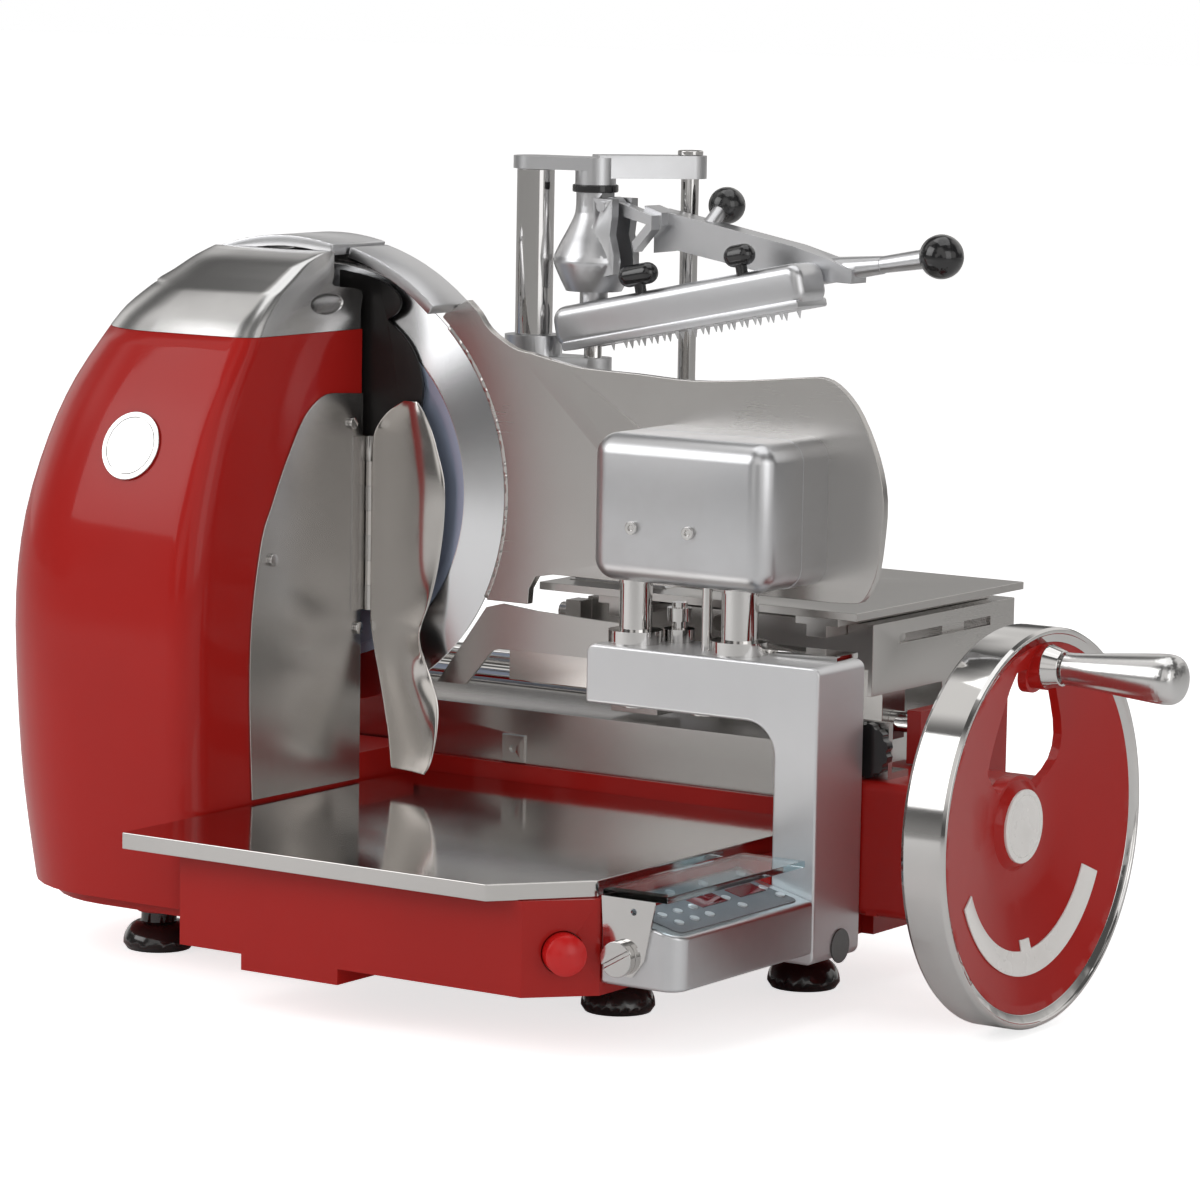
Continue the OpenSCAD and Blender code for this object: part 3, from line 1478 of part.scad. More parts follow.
module post_pedestal() {
  low = table_h + pad_t;
  color(satin) placed()
    difference() {
      union() {
        loft([for (s = [[0, foot_x, foot_w, foot_d2], [0.3, 6, 66, 36], [0.62, -22, 44, 32], [0.86, -44, 34, 30], [1, -52, 32, 30]])
          let (z = low + s[0] * (slab_low + over - low), x = table_left + s[1], w = s[2], d = s[3] / 2, y = post_y2)
            [[x, y - d, z], [x + w, y - d, z], [x + w, y + d, z], [x, y + d, z]]]);
        bar_z(slab_low - slab_step, slab_top - slab_low + slab_step, post_x, post_y2, post_r + 8);
        translate([0, 0, slab_low - slab_step])
          linear_extrude(slab_t)
            union() {
              translate([clamp_x, clamp_y])
                circle(r = 15);
              polygon([[post_x, post_y2 - post_r - 8], [clamp_x + 4, clamp_y - 14.5], [clamp_x - 3, clamp_y + 14.7],
                [post_x, post_y2 + post_r + 8]]);
            }
      }
      bar_z(slab_low - slab_step - over, slab_t + 2 * over, clamp_x, clamp_y, clamp_rod_r);
    }
}

module clamp_posts() {
  color(bright) placed() {
    bar_z(slab_top, post_high - slab_top, post_x, post_y2, post_r);
    bar_z(slab_low - slab_step, bridge_high - slab_low + slab_step - over, clamp_x, clamp_y, clamp_rod_r);
    bar_z(slab_low - 2 * slab_step, slab_step, clamp_x, clamp_y, clamp_rod_r + 3, $fn = 6);
    bar_z(table_h - table_t, bridge_high + nut_h / 2 - table_h + table_t, thin_x, thin_y, clamp_rod_r);
    bar_z(bridge_high + nut_h / 2, nut_h, thin_x, thin_y, nut_r);
  }
}

module top_bridge() {
  arm_a = atan2(thin_y - clamp_y, thin_x - clamp_x);
  color(satin) placed()
    difference() {
      union() {
        translate([0, 0, post_high])
          linear_extrude(bridge_high - post_high)
            union() {
              translate([post_x, post_y2])
                circle(r = post_r + 3);
              translate([clamp_x, clamp_y])
                circle(r = bush_r);
              polygon([[post_x, post_y2 - post_r - 3], [clamp_x + 3, clamp_y - 15.7], [clamp_x - 3, clamp_y + 15.7],
                [post_x, post_y2 + post_r + 3]]);
            }
        bar_z(rod_boss_low, bridge_high - rod_boss_low, clamp_x, clamp_y, bush_r);
        translate([clamp_x, clamp_y, bridge_low])
          rotate([0, 0, arm_a])
            translate([0, -13, 0])
              cube([norm([thin_x - clamp_x, thin_y - clamp_y]), 26, bridge_high + nut_h / 2 - bridge_low]);
        bar_z(bridge_low, bridge_high + nut_h / 2 - bridge_low, thin_x, thin_y, 13);
      }
      bar_z(bridge_low - over, nut_h + bridge_high, thin_x, thin_y, clamp_rod_r);
      bar_z(rod_boss_low - over, bridge_high - rod_boss_low, clamp_x, clamp_y, clamp_rod_r);
    }
}

module clamp_bush() {
  color(dark) placed()
    difference() {
      bar_z(bush_low, rod_boss_low - bush_low, clamp_x, clamp_y, bush_r + 2);
      bar_z(bush_low - over, rod_boss_low - bush_low + 2 * over, clamp_x, clamp_y, clamp_rod_r);
    }
}

module clamp_head() {
  color(bright) placed() {
    bar_y(clamp_y - fork_w / 2 - 1.5, fork_w + 3, pin_x, pin_z, pin_r);
    difference() {
      union() {
        translate([clamp_x, clamp_y, head_low])
          rotate_extrude()
            polygon(concat([[0, 0]], [for (s = reversed(smooth(head_shares, row_steps))) [s[1] * lever_unit, s[0] * head_h]],
              [[0, head_h]]));
        along_y(clamp_y - fork_w / 2, fork_w)
          polygon([for (s = fork_shares) [clamp_x + s[0] * lever_unit, axis_z + s[1] * lever_unit]]);
        bar_z(sleeve_low, head_low + over - sleeve_low, clamp_x, clamp_y, sleeve_r);
        bar_y(clamp_y - trunnion_reach, 2 * trunnion_reach, clamp_x, pusher_pin_z, trunnion_r);
      }
      bar_z(sleeve_low - over, bridge_high - sleeve_low, clamp_x, clamp_y, clamp_rod_r + run_clear);
      block([clamp_x + 10, clamp_y - fork_slot / 2, head_low + head_h * 0.2], [clamp_x + 60, clamp_y + fork_slot / 2, bush_low + over]);
      bar_y(clamp_y - fork_w, 2 * fork_w, pin_x, pin_z, pin_r);
    }
  }
}

module lever_bar() {
  color(bright) placed()
    difference() {
      union() {
        along_y(lever_front, lever_t)
          polygon(concat([for (s = lever_top_shares) [clamp_x + s[0] * lever_unit - lever_shift, axis_z + s[1] * lever_unit - lever_drop]],
            [for (s = lever_low_shares) [clamp_x + s[0] * lever_unit - lever_shift, axis_z + s[1] * lever_unit - lever_drop]]));
        along_y(clamp_y + link_t / 2 + over, lever_front + lever_t / 2 - clamp_y - link_t / 2)
          polygon([[lever_in_x - 8, pin_z + 1], [lever_in_x + 8, pin_z - 4], [lever_in_x + 8, pin_z - 14],
            [lever_in_x - 8, pin_z - 10]]);
        along_y(clamp_y - link_t / 2, link_t + 2 * over)
          union() {
            translate([pin_x, pin_z])
              circle(r = pin_r + 3);
            polygon([[pin_x, pin_z + 5], [lever_in_x + 6, pin_z - 6], [lever_in_x + 6, pin_z - 14], [pin_x, pin_z - 5]]);
            polygon([[clamp_x + 38, axis_z + 200], [lever_in_x + 6, axis_z + 220], [lever_in_x + 6, axis_z + 210],
              [clamp_x + 40, axis_z + 192]]);
          }
        strut([lever_end_x - 4, lever_front + lever_t / 2, axis_z + 184], [lever_end_x + 48, lever_front + lever_t / 2, axis_z + 191],
          handle_root_r, handle_neck_r);
        strut([lever_end_x + 47, lever_front + lever_t / 2, axis_z + 191], [ball_x - 9, lever_front + lever_t / 2, ball_z - 1],
          0.93 * handle_neck_r, handle_tip_r);
        strut([rear_ball_x, lever_front + lever_t / 2, rear_ball_z - 16], [rear_ball_x, rear_ball_y, rear_ball_z], 6, 6);
      }
      bar_y(clamp_y - link_t, 2 * link_t, pin_x, pin_z, pin_r + run_clear);
    }
}

module lever_balls() {
  color(dark) placed() {
    difference() {
      translate([ball_x - 8, lever_front + lever_t / 2, ball_z - 1])
        sphere(r = ball_r);
      strut([lever_end_x + 47, lever_front + lever_t / 2, axis_z + 191], [ball_x - 9, lever_front + lever_t / 2, ball_z - 1], 0.93 * handle_neck_r,
        handle_tip_r);
    }
    difference() {
      translate([rear_ball_x, rear_ball_y + 4, rear_ball_z])
        sphere(r = rear_ball_r);
      strut([rear_ball_x, lever_front + lever_t / 2, rear_ball_z - 16], [rear_ball_x, rear_ball_y, rear_ball_z], 6, 6);
    }
  }
}

// Frame of the pusher bar: X along it from the centre rod, Z across it from its pivot
module pusher_pose() {
  translate([pusher_pin_x, clamp_y, pusher_pin_z])
    rotate([0, -pusher_angle, 0])
      children();
}

module pusher_bar() {
  low = -pusher_drop;
  high = pusher_h - pusher_drop;
  tail = pusher_tail;
  head = pusher_len - pusher_tail;
  color(bright) placed()
    difference() {
      pusher_pose()
        difference() {
          union() {
            translate([0, pusher_t / 2 - pusher_side, 0])
              rotate([90, 0, 0])
                linear_extrude(pusher_t)
                  soft_rect([-tail, low], [head, high], pusher_round);
            translate([-tail + 6, -pusher_t / 2 - pusher_side - 1, low - 2])
              cube([pusher_len - 12, pusher_t + 2, pusher_drop / 3]);
            translate([head - end_block_w - 4, -pusher_t / 2, high - over])
              cube([end_block_w, pusher_t - 2 * pusher_side, end_block_h - 8]);
            for (x = [sleeve_r + 2 * tooth_w : tooth_w + tooth_gap : head - 2 * tooth_w])
              for (y = [-pusher_t / 3 - pusher_side, pusher_t / 3 - pusher_side])
                translate([x, y, low - tooth_h - 1])
                  cylinder(h = tooth_h, r1 = 0.4, r2 = tooth_w / 3, $fn = 4);
          }
          for (x = [knob_left_at, knob_right_at])
            translate([x, t_knob_y - clamp_y, high - t_stem_in])
              cylinder(h = t_stem_in + over, r = t_stem_r + run_clear);
        }
      block([clamp_x - 2 * pusher_tail, clamp_y - sleeve_r - 4 * seat_gap, pusher_pin_z - pusher_h],
        [clamp_x + pusher_slot_half, clamp_y + sleeve_r + 4 * seat_gap, pusher_pin_z + pusher_h]);
      bar_y(clamp_y - trunnion_reach - 4 * seat_gap, 2 * trunnion_reach + 8 * seat_gap, clamp_x, pusher_pin_z, trunnion_r + run_clear);
    }
}

module t_knob(at, y, w) {
  high = pusher_h - pusher_drop;
  pusher_pose()
    translate([at, y - clamp_y, high]) {
      translate([0, 0, -t_stem_in + over])
        cylinder(h = t_stem_in + t_stem_h, r = t_stem_r);
      translate([-w / 2 + t_knob_r, 0, t_stem_h + t_knob_r / 2]) {
        rotate([0, 90, 0])
          cylinder(h = w - 2 * t_knob_r, r = t_knob_r);
        sphere(r = t_knob_r);
        translate([w - 2 * t_knob_r, 0, 0])
          sphere(r = t_knob_r);
      }
    }
}

module t_knob_left() {
  color(dark) placed()
    t_knob(knob_left_at, t_knob_y, t_knob_left_w);
}

module t_knob_right() {
  color(dark) placed()
    t_knob(knob_right_at, t_knob_y, t_knob_right_w);
}

module flywheel_rim() {
  r = wheel_d / 2;
  color(bright) placed()
    translate([wheel_face_x - rim_w, wheel_y, wheel_z])
      rotate([0, 90, 0])
        rotate_extrude($fn = 180)
          polygon([[r - 11, 2], [r - 9, 0], [r - 2, 0], [r, 3], [r, rim_w - 3], [r - 1.5, rim_w], [r - 4, rim_w],
            [r - 5, rim_w - 2], [r - 11, rim_w - 4]]);
}

module flywheel_disc() {
  r = wheel_d / 2;
  color(red) placed()
    difference() {
      union() {
        translate([wheel_face_x - rim_w, wheel_y, wheel_z])
          rotate([0, 90, 0])
            rotate_extrude($fn = 180)
              polygon([[hub_r_in, 0], [wheel_hub_r, 0], [wheel_hub_r, rim_w - wheel_dish - disc_t], [r - 24, rim_w - 7 - disc_t],
                [r - 11, rim_w - 5 - disc_t], [r - 11, rim_w - 4], [r - 24, rim_w - 7], [wheel_hub_r + 14, rim_w - wheel_dish + 4],
                [wheel_hub_r, rim_w - wheel_dish + 4], [wheel_hub_r - 6, rim_w - 19], [hub_r_in, rim_w - 19]]);
        bar_x(wheel_face_x - 14, 14, wheel_y, wheel_z + crank_r, crank_boss_r);
      }
      difference() {
        along_x(wheel_face_x - rim_w - over, rim_w + 2 * over)
          polygon([for (s = smooth(window_shares, row_steps)) [wheel_y + s[0] * r, wheel_z + s[1] * r]]);
        bar_x(wheel_face_x - rim_w - 2 * over, rim_w + 4 * over, wheel_y, wheel_z + crank_r, crank_boss_r + 3);
        bar_x(wheel_face_x - rim_w - 2 * over, rim_w + 4 * over, wheel_y, wheel_z, wheel_hub_r + 3);
      }
      bar_x(wheel_face_x - 30, 31, wheel_y, wheel_z + crank_r, crank_pin_r);
      bar_x(wheel_face_x - rim_w - over, rim_w / 2 + over, wheel_y, wheel_z, shaft_r);
    }
}

module crank_pin() {
  color(bright) placed() {
    bar_x(wheel_face_x - 14, grip_gap + grip_len + 14 - 9, wheel_y, wheel_z + crank_r, crank_pin_r);
    translate([wheel_face_x, wheel_y, wheel_z + crank_r])
      rotate([0, 90, 0])
        cylinder(h = grip_gap - 3, r1 = crank_boss_r, r2 = crank_boss_r - 4);
  }
}

module crank_grip() {
  color(satin) placed()
    translate([wheel_face_x + grip_gap, wheel_y, wheel_z + crank_r])
      rotate([0, 90, 0])
        rotate_extrude()
          polygon(concat([[crank_pin_r + run_clear, 0]],
            [for (s = smooth(grip_shares, row_steps)) [s[1] * grip_len, s[0] * grip_len]],
            [[0, grip_len], [0, grip_len - 8], [crank_pin_r + run_clear, grip_len - 8]]));
}

module wheel_plates() {
  color(white) placed() {
    bar_x(wheel_face_x - 19, 2, wheel_y, wheel_z, hub_badge_r);
      translate([wheel_face_x - rim_w, wheel_y, wheel_z])
        rotate([0, 90, 0])
          rotate([0, 0, 90 - 155])
            rotate_extrude(angle = 130)
              polygon([for (p = [[92, 0.9], [110, 0.9], [110, 2.4], [92, 2.4]])
                [p[0], disc_face(p[0]) + p[1] - 0.9]]);
    }
}

// Height of the front of the dished disc above the back of the rim, at radius q
function disc_face(q) = rim_w - wheel_dish + 4
  + (wheel_dish - 11) * (q - wheel_hub_r - 14) / (wheel_d / 2 - 24 - wheel_hub_r - 14);

base_casting();
feet();
blade_housing();
housing_badge();
ring_guard();
inner_plate();
bearings();
drive_belt();
side_plate();
fixed_screws();
hinge_leaf();
gauge_posts();
arm_column();
column_plug();
lower_guard();
receiving_tray();
rail_cover();
panel_box();
panel_overlay();
panel_windows();
shield_bracket();
shield();
thickness_bracket();
carriage_rails();
rail_brackets();
gear_housing();
sharpener_cover();
cover_visor();
sharpener();
blade();
blade_shaft();
flywheel_disc();
flywheel_rim();
wheel_plates();
crank_pin();
flywheel_shaft();
idler_gear();
layshaft();
cross_shaft();
crank_grip();
carriage_body();
feed_rod();
meat_table();
post_pedestal();
clamp_posts();
top_bridge();
clamp_bush();
clamp_head();
lever_bar();
lever_balls();
pusher_bar();
t_knob_left();
t_knob_right();
gauge_plate();
gauge_cover_front();
gauge_cover_back();
cover_screws();
thickness_knob();
deflector();
stop_button();
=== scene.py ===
"""Finish of a hand cranked meat slicer with a flywheel, built round its fixed frame.

Metres, in the frame's own axes: X along the carriage stroke towards the flywheel, Y along the
blade axis away from the slice tray, Z up from the table that the slicer stands on."""
import json
import math

import bpy
from mathutils import Matrix, Vector


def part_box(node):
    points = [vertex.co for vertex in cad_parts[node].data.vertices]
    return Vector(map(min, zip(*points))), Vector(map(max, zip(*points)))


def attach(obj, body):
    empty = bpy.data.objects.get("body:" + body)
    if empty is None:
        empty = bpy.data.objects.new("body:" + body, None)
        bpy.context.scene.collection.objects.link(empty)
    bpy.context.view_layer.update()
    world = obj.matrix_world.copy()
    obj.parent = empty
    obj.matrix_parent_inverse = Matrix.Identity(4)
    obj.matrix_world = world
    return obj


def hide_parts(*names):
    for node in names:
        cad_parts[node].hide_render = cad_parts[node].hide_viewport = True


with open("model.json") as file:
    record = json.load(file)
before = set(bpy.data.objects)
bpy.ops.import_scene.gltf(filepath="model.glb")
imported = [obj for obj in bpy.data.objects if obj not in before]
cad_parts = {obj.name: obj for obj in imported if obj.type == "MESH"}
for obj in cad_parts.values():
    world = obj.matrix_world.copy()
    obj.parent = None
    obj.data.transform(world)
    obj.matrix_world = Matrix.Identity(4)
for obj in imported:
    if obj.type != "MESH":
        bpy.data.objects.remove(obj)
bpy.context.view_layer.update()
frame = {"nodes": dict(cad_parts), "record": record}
MM = 0.001
SAME_PLACE = 0.01 * MM
SAME_PLACE_ON_SOLID = 0.002 * MM

# Camera of the photograph, fitted to the blade, the tray, the column and the flywheel
CAMERA_PLACE = (2.1152, -3.1488, 0.7864)
CAMERA_YAW = 33.87
CAMERA_PITCH = 7.41
CAMERA_ROLL = 0.976
CAMERA_LENS = 150
CAMERA_SENSOR = 36
CAMERA_NEAR = 0.05
CAMERA_FAR = 100


def camera_of_photograph():
    lens = bpy.data.cameras.new("photo_camera")
    lens.lens = CAMERA_LENS
    lens.sensor_width = CAMERA_SENSOR
    lens.clip_start = CAMERA_NEAR
    lens.clip_end = CAMERA_FAR
    camera = bpy.data.objects.new("photo_camera", lens)
    bpy.context.scene.collection.objects.link(camera)
    turn = Matrix.Rotation(math.radians(CAMERA_YAW), 4, "Z")
    tilt = Matrix.Rotation(math.radians(90 - CAMERA_PITCH), 4, "X")
    roll = Matrix.Rotation(math.radians(CAMERA_ROLL), 4, "Z")
    camera.matrix_world = Matrix.Translation(CAMERA_PLACE) @ turn @ tilt @ roll
    bpy.context.scene.camera = camera


camera_of_photograph()
bpy.context.scene.view_settings.view_transform = "Standard"

# Machine places, in the frame: the blade axis and the cutting plane
blade_low, blade_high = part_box("blade")
BLADE_X = (blade_low.x + blade_high.x) / 2
BLADE_Z = (blade_low.z + blade_high.z) / 2
EDGE_Y = blade_high.y


def at(x, y, z):
    """A point given in millimetres from the blade axis, the cutting plane and the table."""
    return Vector((BLADE_X + x * MM, EDGE_Y + y * MM, z * MM))


def at_radius(r, y, degrees=0):
    """A point at a radius and an angle round the blade axis, y millimetres from the cutting plane."""
    turn = math.radians(degrees)
    return at(r * math.cos(turn), y, 0) + Vector((0, 0, BLADE_Z + r * MM * math.sin(turn)))


# Editing helpers

def select_only(piece):
    if bpy.context.mode != "OBJECT":
        bpy.ops.object.mode_set(mode="OBJECT")
    bpy.ops.object.select_all(action="DESELECT")
    piece.select_set(True)
    bpy.context.view_layer.objects.active = piece


def start_edit(piece):
    select_only(piece)
    bpy.ops.object.mode_set(mode="EDIT")
    bpy.ops.mesh.select_all(action="SELECT")


def end_edit():
    bpy.ops.object.mode_set(mode="OBJECT")


def apply_modifier(piece, kind, **settings):
    select_only(piece)
    modifier = piece.modifiers.new(kind.title(), kind)
    for name, value in settings.items():
        setattr(modifier, name, value)
    bpy.ops.object.modifier_apply(modifier=modifier.name)


def round_edges(piece, width, segments=2, angle=30, harden=True):
    apply_modifier(piece, "BEVEL", width=width * MM, segments=segments, limit_method="ANGLE",
                   angle_limit=math.radians(angle), harden_normals=harden)


def smooth_by_angle(piece, angle=30):
    select_only(piece)
    bpy.ops.object.shade_smooth_by_angle(angle=math.radians(angle), keep_sharp_edges=False)


def merged(piece):
    start_edit(piece)
    bpy.ops.mesh.remove_doubles(threshold=SAME_PLACE)
    bpy.ops.mesh.normals_make_consistent(inside=False)
    end_edit()


def piece_from(name, points, edges=(), faces=()):
    """A starting outline or profile, shaped further by the mesh operators."""
    mesh = bpy.data.meshes.new(name)
    mesh.from_pydata([tuple(p) for p in points], [tuple(e) for e in edges], [tuple(f) for f in faces])
    piece = bpy.data.objects.new(name, mesh)
    bpy.context.scene.collection.objects.link(piece)
    return piece


def joined(name, pieces):
    select_only(pieces[0])
    for other in pieces[1:]:
        other.select_set(True)
    bpy.ops.object.join()
    pieces[0].name = name
    return pieces[0]


def smooth_curve(points, steps):
    """A smooth open curve through all points, with a number of steps between two of them."""
    curve = []
    for i in range(len(points) - 1):
        a, b = Vector(points[max(i - 1, 0)]), Vector(points[i])
        c, d = Vector(points[i + 1]), Vector(points[min(i + 2, len(points) - 1)])
        for k in range(steps):
            t = k / steps
            curve.append((2 * b + (c - a) * t + (2 * a - 5 * b + 4 * c - d) * t * t
                          + (3 * b - a - 3 * c + d) * t * t * t) / 2)
    return curve + [Vector(points[-1])]


def spun(name, profile, centre, axis, steps, degrees=360):
    """A closed profile swept round an axis: all the way round, or part of it with its ends shut."""
    loop = range(len(profile))
    if degrees == 360:
        piece = piece_from(name, profile, edges=[(i, (i + 1) % len(profile)) for i in loop])
    else:
        piece = piece_from(name, profile, faces=[loop])
    start_edit(piece)
    bpy.ops.mesh.spin(steps=steps, angle=-math.radians(degrees), center=centre, axis=axis)
    end_edit()
    merged(piece)
    return piece


def extruded(name, outline, offset):
    """A closed outline pushed along an offset, as a plate or a block."""
    piece = piece_from(name, outline, faces=[range(len(outline))])
    start_edit(piece)
    bpy.ops.mesh.extrude_region_move(TRANSFORM_OT_translate={"value": offset})
    end_edit()
    merged(piece)
    return piece


ROD_SIDES = 32


def rod(name, low, high, radius):
    """A round bar between two points of the frame."""
    low, high = Vector(low), Vector(high)
    bpy.ops.object.select_all(action="DESELECT")
    bpy.ops.mesh.primitive_cylinder_add(vertices=ROD_SIDES, radius=radius * MM,
                                        depth=(high - low).length, location=(low + high) / 2)
    piece = bpy.context.active_object
    piece.name = name
    piece.rotation_mode = "QUATERNION"
    piece.rotation_quaternion = (high - low).to_track_quat("Z", "Y")
    bpy.ops.object.transform_apply(location=True, rotation=True, scale=True)
    return piece


def cut_away(piece, cutter, **settings):
    apply_modifier(piece, "BOOLEAN", operation="DIFFERENCE", object=cutter, solver="EXACT", **settings)
    bpy.data.objects.remove(cutter)


SLOT_OF = {part["node"]: part["material_slot"] for part in frame["record"]["subparts"]}


def body_of(node):
    for body, members in frame["record"]["behaviour"]["bodies"].items():
        if node in members:
            return body
    return "root"


def on_body(piece, material, *nodes):
    """Puts a finished piece on the body of the nodes, in place of their plain solids."""
    body, slot = body_of(nodes[0]), SLOT_OF[nodes[0]]
    piece.data.materials.clear()
    piece.data.materials.append(material)
    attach(piece, body)
    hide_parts(*nodes)
    return piece


# Shader groups

def node_group(name, inputs, outputs):
    group = bpy.data.node_groups.new(name, "ShaderNodeTree")
    for label, kind, value in inputs:
        socket = group.interface.new_socket(name=label, in_out="INPUT", socket_type=kind)
        if value is not None:
            socket.default_value = value
    for label, kind in outputs:
        group.interface.new_socket(name=label, in_out="OUTPUT", socket_type=kind)
    return group, group.nodes.new("NodeGroupInput"), group.nodes.new("NodeGroupOutput")


def math_node(tree, operation, a, b, clamp=False):
    node = tree.nodes.new("ShaderNodeMath")
    node.operation = operation
    node.use_clamp = clamp
    for index, value in enumerate((a, b)):
        if isinstance(value, (int, float)):
            node.inputs[index].default_value = value
        else:
            tree.links.new(value, node.inputs[index])
    return node.outputs[0]


def noise(tree, vector, scale, detail=3.0, roughness=0.5):
    node = tree.nodes.new("ShaderNodeTexNoise")
    tree.links.new(vector, node.inputs["Vector"])
    if isinstance(scale, (int, float)):
        node.inputs["Scale"].default_value = scale
    else:
        tree.links.new(scale, node.inputs["Scale"])
    node.inputs["Detail"].default_value = detail
    node.inputs["Roughness"].default_value = roughness
    return node.outputs["Fac"]


def brushed_group():
    """Fine parallel scratches: a height and a roughness that vary across them."""
    group, entry, leave = node_group(
        "brushed_grain",
        [("Vector", "NodeSocketVector", None), ("Scale", "NodeSocketFloat", 900.0),
         ("Roughness", "NodeSocketFloat", 0.3), ("Spread", "NodeSocketFloat", 0.12)],
        [("Height", "NodeSocketFloat"), ("Roughness", "NodeSocketFloat")])
    lines = noise(group, entry.outputs["Vector"], entry.outputs["Scale"], detail=4.0)
    offset = math_node(group, "SUBTRACT", lines, 0.5)
    spread = math_node(group, "MULTIPLY", offset, entry.outputs["Spread"])
    rough = math_node(group, "ADD", spread, entry.outputs["Roughness"], clamp=True)
    group.links.new(lines, leave.inputs["Height"])
    group.links.new(rough, leave.inputs["Roughness"])
    return group


# Levels of the noise between which a clean surface turns into a marked one
MARK_EDGES = (0.38, 0.68)


def handling_group():
    """Broad smears that handling and wiping leave: a tinted colour and a rougher gloss."""
    group, entry, leave = node_group(
        "handling_marks",
        [("Vector", "NodeSocketVector", None), ("Color", "NodeSocketColor", (0.8, 0.8, 0.8, 1)),
         ("Marked", "NodeSocketColor", (0.7, 0.7, 0.7, 1)), ("Scale", "NodeSocketFloat", 9.0),
         ("Roughness", "NodeSocketFloat", 0.2), ("Spread", "NodeSocketFloat", 0.1)],
        [("Color", "NodeSocketColor"), ("Roughness", "NodeSocketFloat")])
    broad = noise(group, entry.outputs["Vector"], entry.outputs["Scale"], detail=5.0, roughness=0.6)
    ramp = group.nodes.new("ShaderNodeMapRange")
    ramp.interpolation_type = "SMOOTHSTEP"
    ramp.inputs["From Min"].default_value = MARK_EDGES[0]
    ramp.inputs["From Max"].default_value = MARK_EDGES[1]
    group.links.new(broad, ramp.inputs["Value"])
    mix = group.nodes.new("ShaderNodeMix")
    mix.data_type = "RGBA"
    group.links.new(ramp.outputs[0], mix.inputs[0])
    group.links.new(entry.outputs["Color"], mix.inputs[6])
    group.links.new(entry.outputs["Marked"], mix.inputs[7])
    spread = math_node(group, "MULTIPLY", ramp.outputs[0], entry.outputs["Spread"])
    rough = math_node(group, "ADD", spread, entry.outputs["Roughness"], clamp=True)
    group.links.new(mix.outputs[2], leave.inputs["Color"])
    group.links.new(rough, leave.inputs["Roughness"])
    return group


BRUSHED = brushed_group()
HANDLING = handling_group()


# Materials

def new_material(name, metallic, coat=0.0):
    material = bpy.data.materials.new(name)
    material.use_nodes = True
    tree = material.node_tree
    shader = tree.nodes["Principled BSDF"]
    shader.inputs["Metallic"].default_value = metallic
    shader.inputs["Coat Weight"].default_value = coat
    return material, tree, shader


def object_vector(tree, scale=(1, 1, 1)):
    """Object coordinates, stretched by scale."""
    source = tree.nodes.new("ShaderNodeTexCoord")
    mapping = tree.nodes.new("ShaderNodeMapping")
    mapping.vector_type = "POINT"
    mapping.inputs["Scale"].default_value = scale
    tree.links.new(source.outputs["Object"], mapping.inputs["Vector"])
    return mapping.outputs["Vector"]


def use_group(tree, group, vector, **values):
    node = tree.nodes.new("ShaderNodeGroup")
    node.node_tree = group
    tree.links.new(vector, node.inputs["Vector"])
    for label, value in values.items():
        node.inputs[label].default_value = value
    return node


def bump(tree, shader, height, strength, distance):
    node = tree.nodes.new("ShaderNodeBump")
    node.inputs["Strength"].default_value = strength
    node.inputs["Distance"].default_value = distance
    tree.links.new(height, node.inputs["Height"])
    tree.links.new(node.outputs["Normal"], shader.inputs["Normal"])


GRAIN_SCALE = 50.0
GRAIN_HEIGHT = 0.02 * MM
GRAIN_STRENGTH = 0.02


def marked_metal(name, color, marked, roughness, spread, marks, metallic=1.0, coat=0.0, grain=None):
    """Metal or paint with handling marks, and a brushed grain along an axis where grain is given."""
    material, tree, shader = new_material(name, metallic, coat)
    broad = use_group(tree, HANDLING, object_vector(tree), Color=(*color, 1), Marked=(*marked, 1),
                      Scale=marks, Roughness=roughness, Spread=spread)
    tree.links.new(broad.outputs["Color"], shader.inputs["Base Color"])
    if grain is None:
        tree.links.new(broad.outputs["Roughness"], shader.inputs["Roughness"])
        return material
    lines = use_group(tree, BRUSHED, object_vector(tree, scale=grain), Scale=GRAIN_SCALE, Spread=spread)
    tree.links.new(broad.outputs["Roughness"], lines.inputs["Roughness"])
    tree.links.new(lines.outputs["Roughness"], shader.inputs["Roughness"])
    bump(tree, shader, lines.outputs["Height"], GRAIN_STRENGTH, GRAIN_HEIGHT)
    return material


GREY_LIGHT = (0.68, 0.675, 0.67)
GREY_MID = (0.61, 0.605, 0.60)
STEEL = (0.56, 0.545, 0.53)
STEEL_DULL = (0.51, 0.495, 0.48)
SATIN_GREY = (0.63, 0.635, 0.65)
SATIN_DULL = (0.58, 0.58, 0.59)
RED = (0.42, 0.012, 0.009)
RED_DEEP = (0.38, 0.011, 0.008)


def red_enamel():
    material = marked_metal("red_enamel", RED, RED_DEEP, 0.4, 0.03, marks=2.5, metallic=0.0, coat=0.35)
    shader = material.node_tree.nodes["Principled BSDF"]
    shader.inputs["Coat Roughness"].default_value = 0.08
    shader.inputs["Specular IOR Level"].default_value = 0.12
    return material


def cast_polish():
    return marked_metal("cast_polish", GREY_LIGHT, GREY_MID, 0.2, 0.05, marks=6.0)


def satin_cast():
    return marked_metal("satin_cast", SATIN_GREY, SATIN_DULL, 0.31, 0.05, marks=8.0)


def column_cast():
    return marked_metal("column_cast", (0.74, 0.745, 0.76), (0.71, 0.715, 0.73), 0.36, 0.04, marks=5.0,
                        metallic=0.7)


def sheet_satin():
    return marked_metal("sheet_satin", STEEL, STEEL_DULL, 0.25, 0.03, marks=2.5, grain=(1, 1, 30))


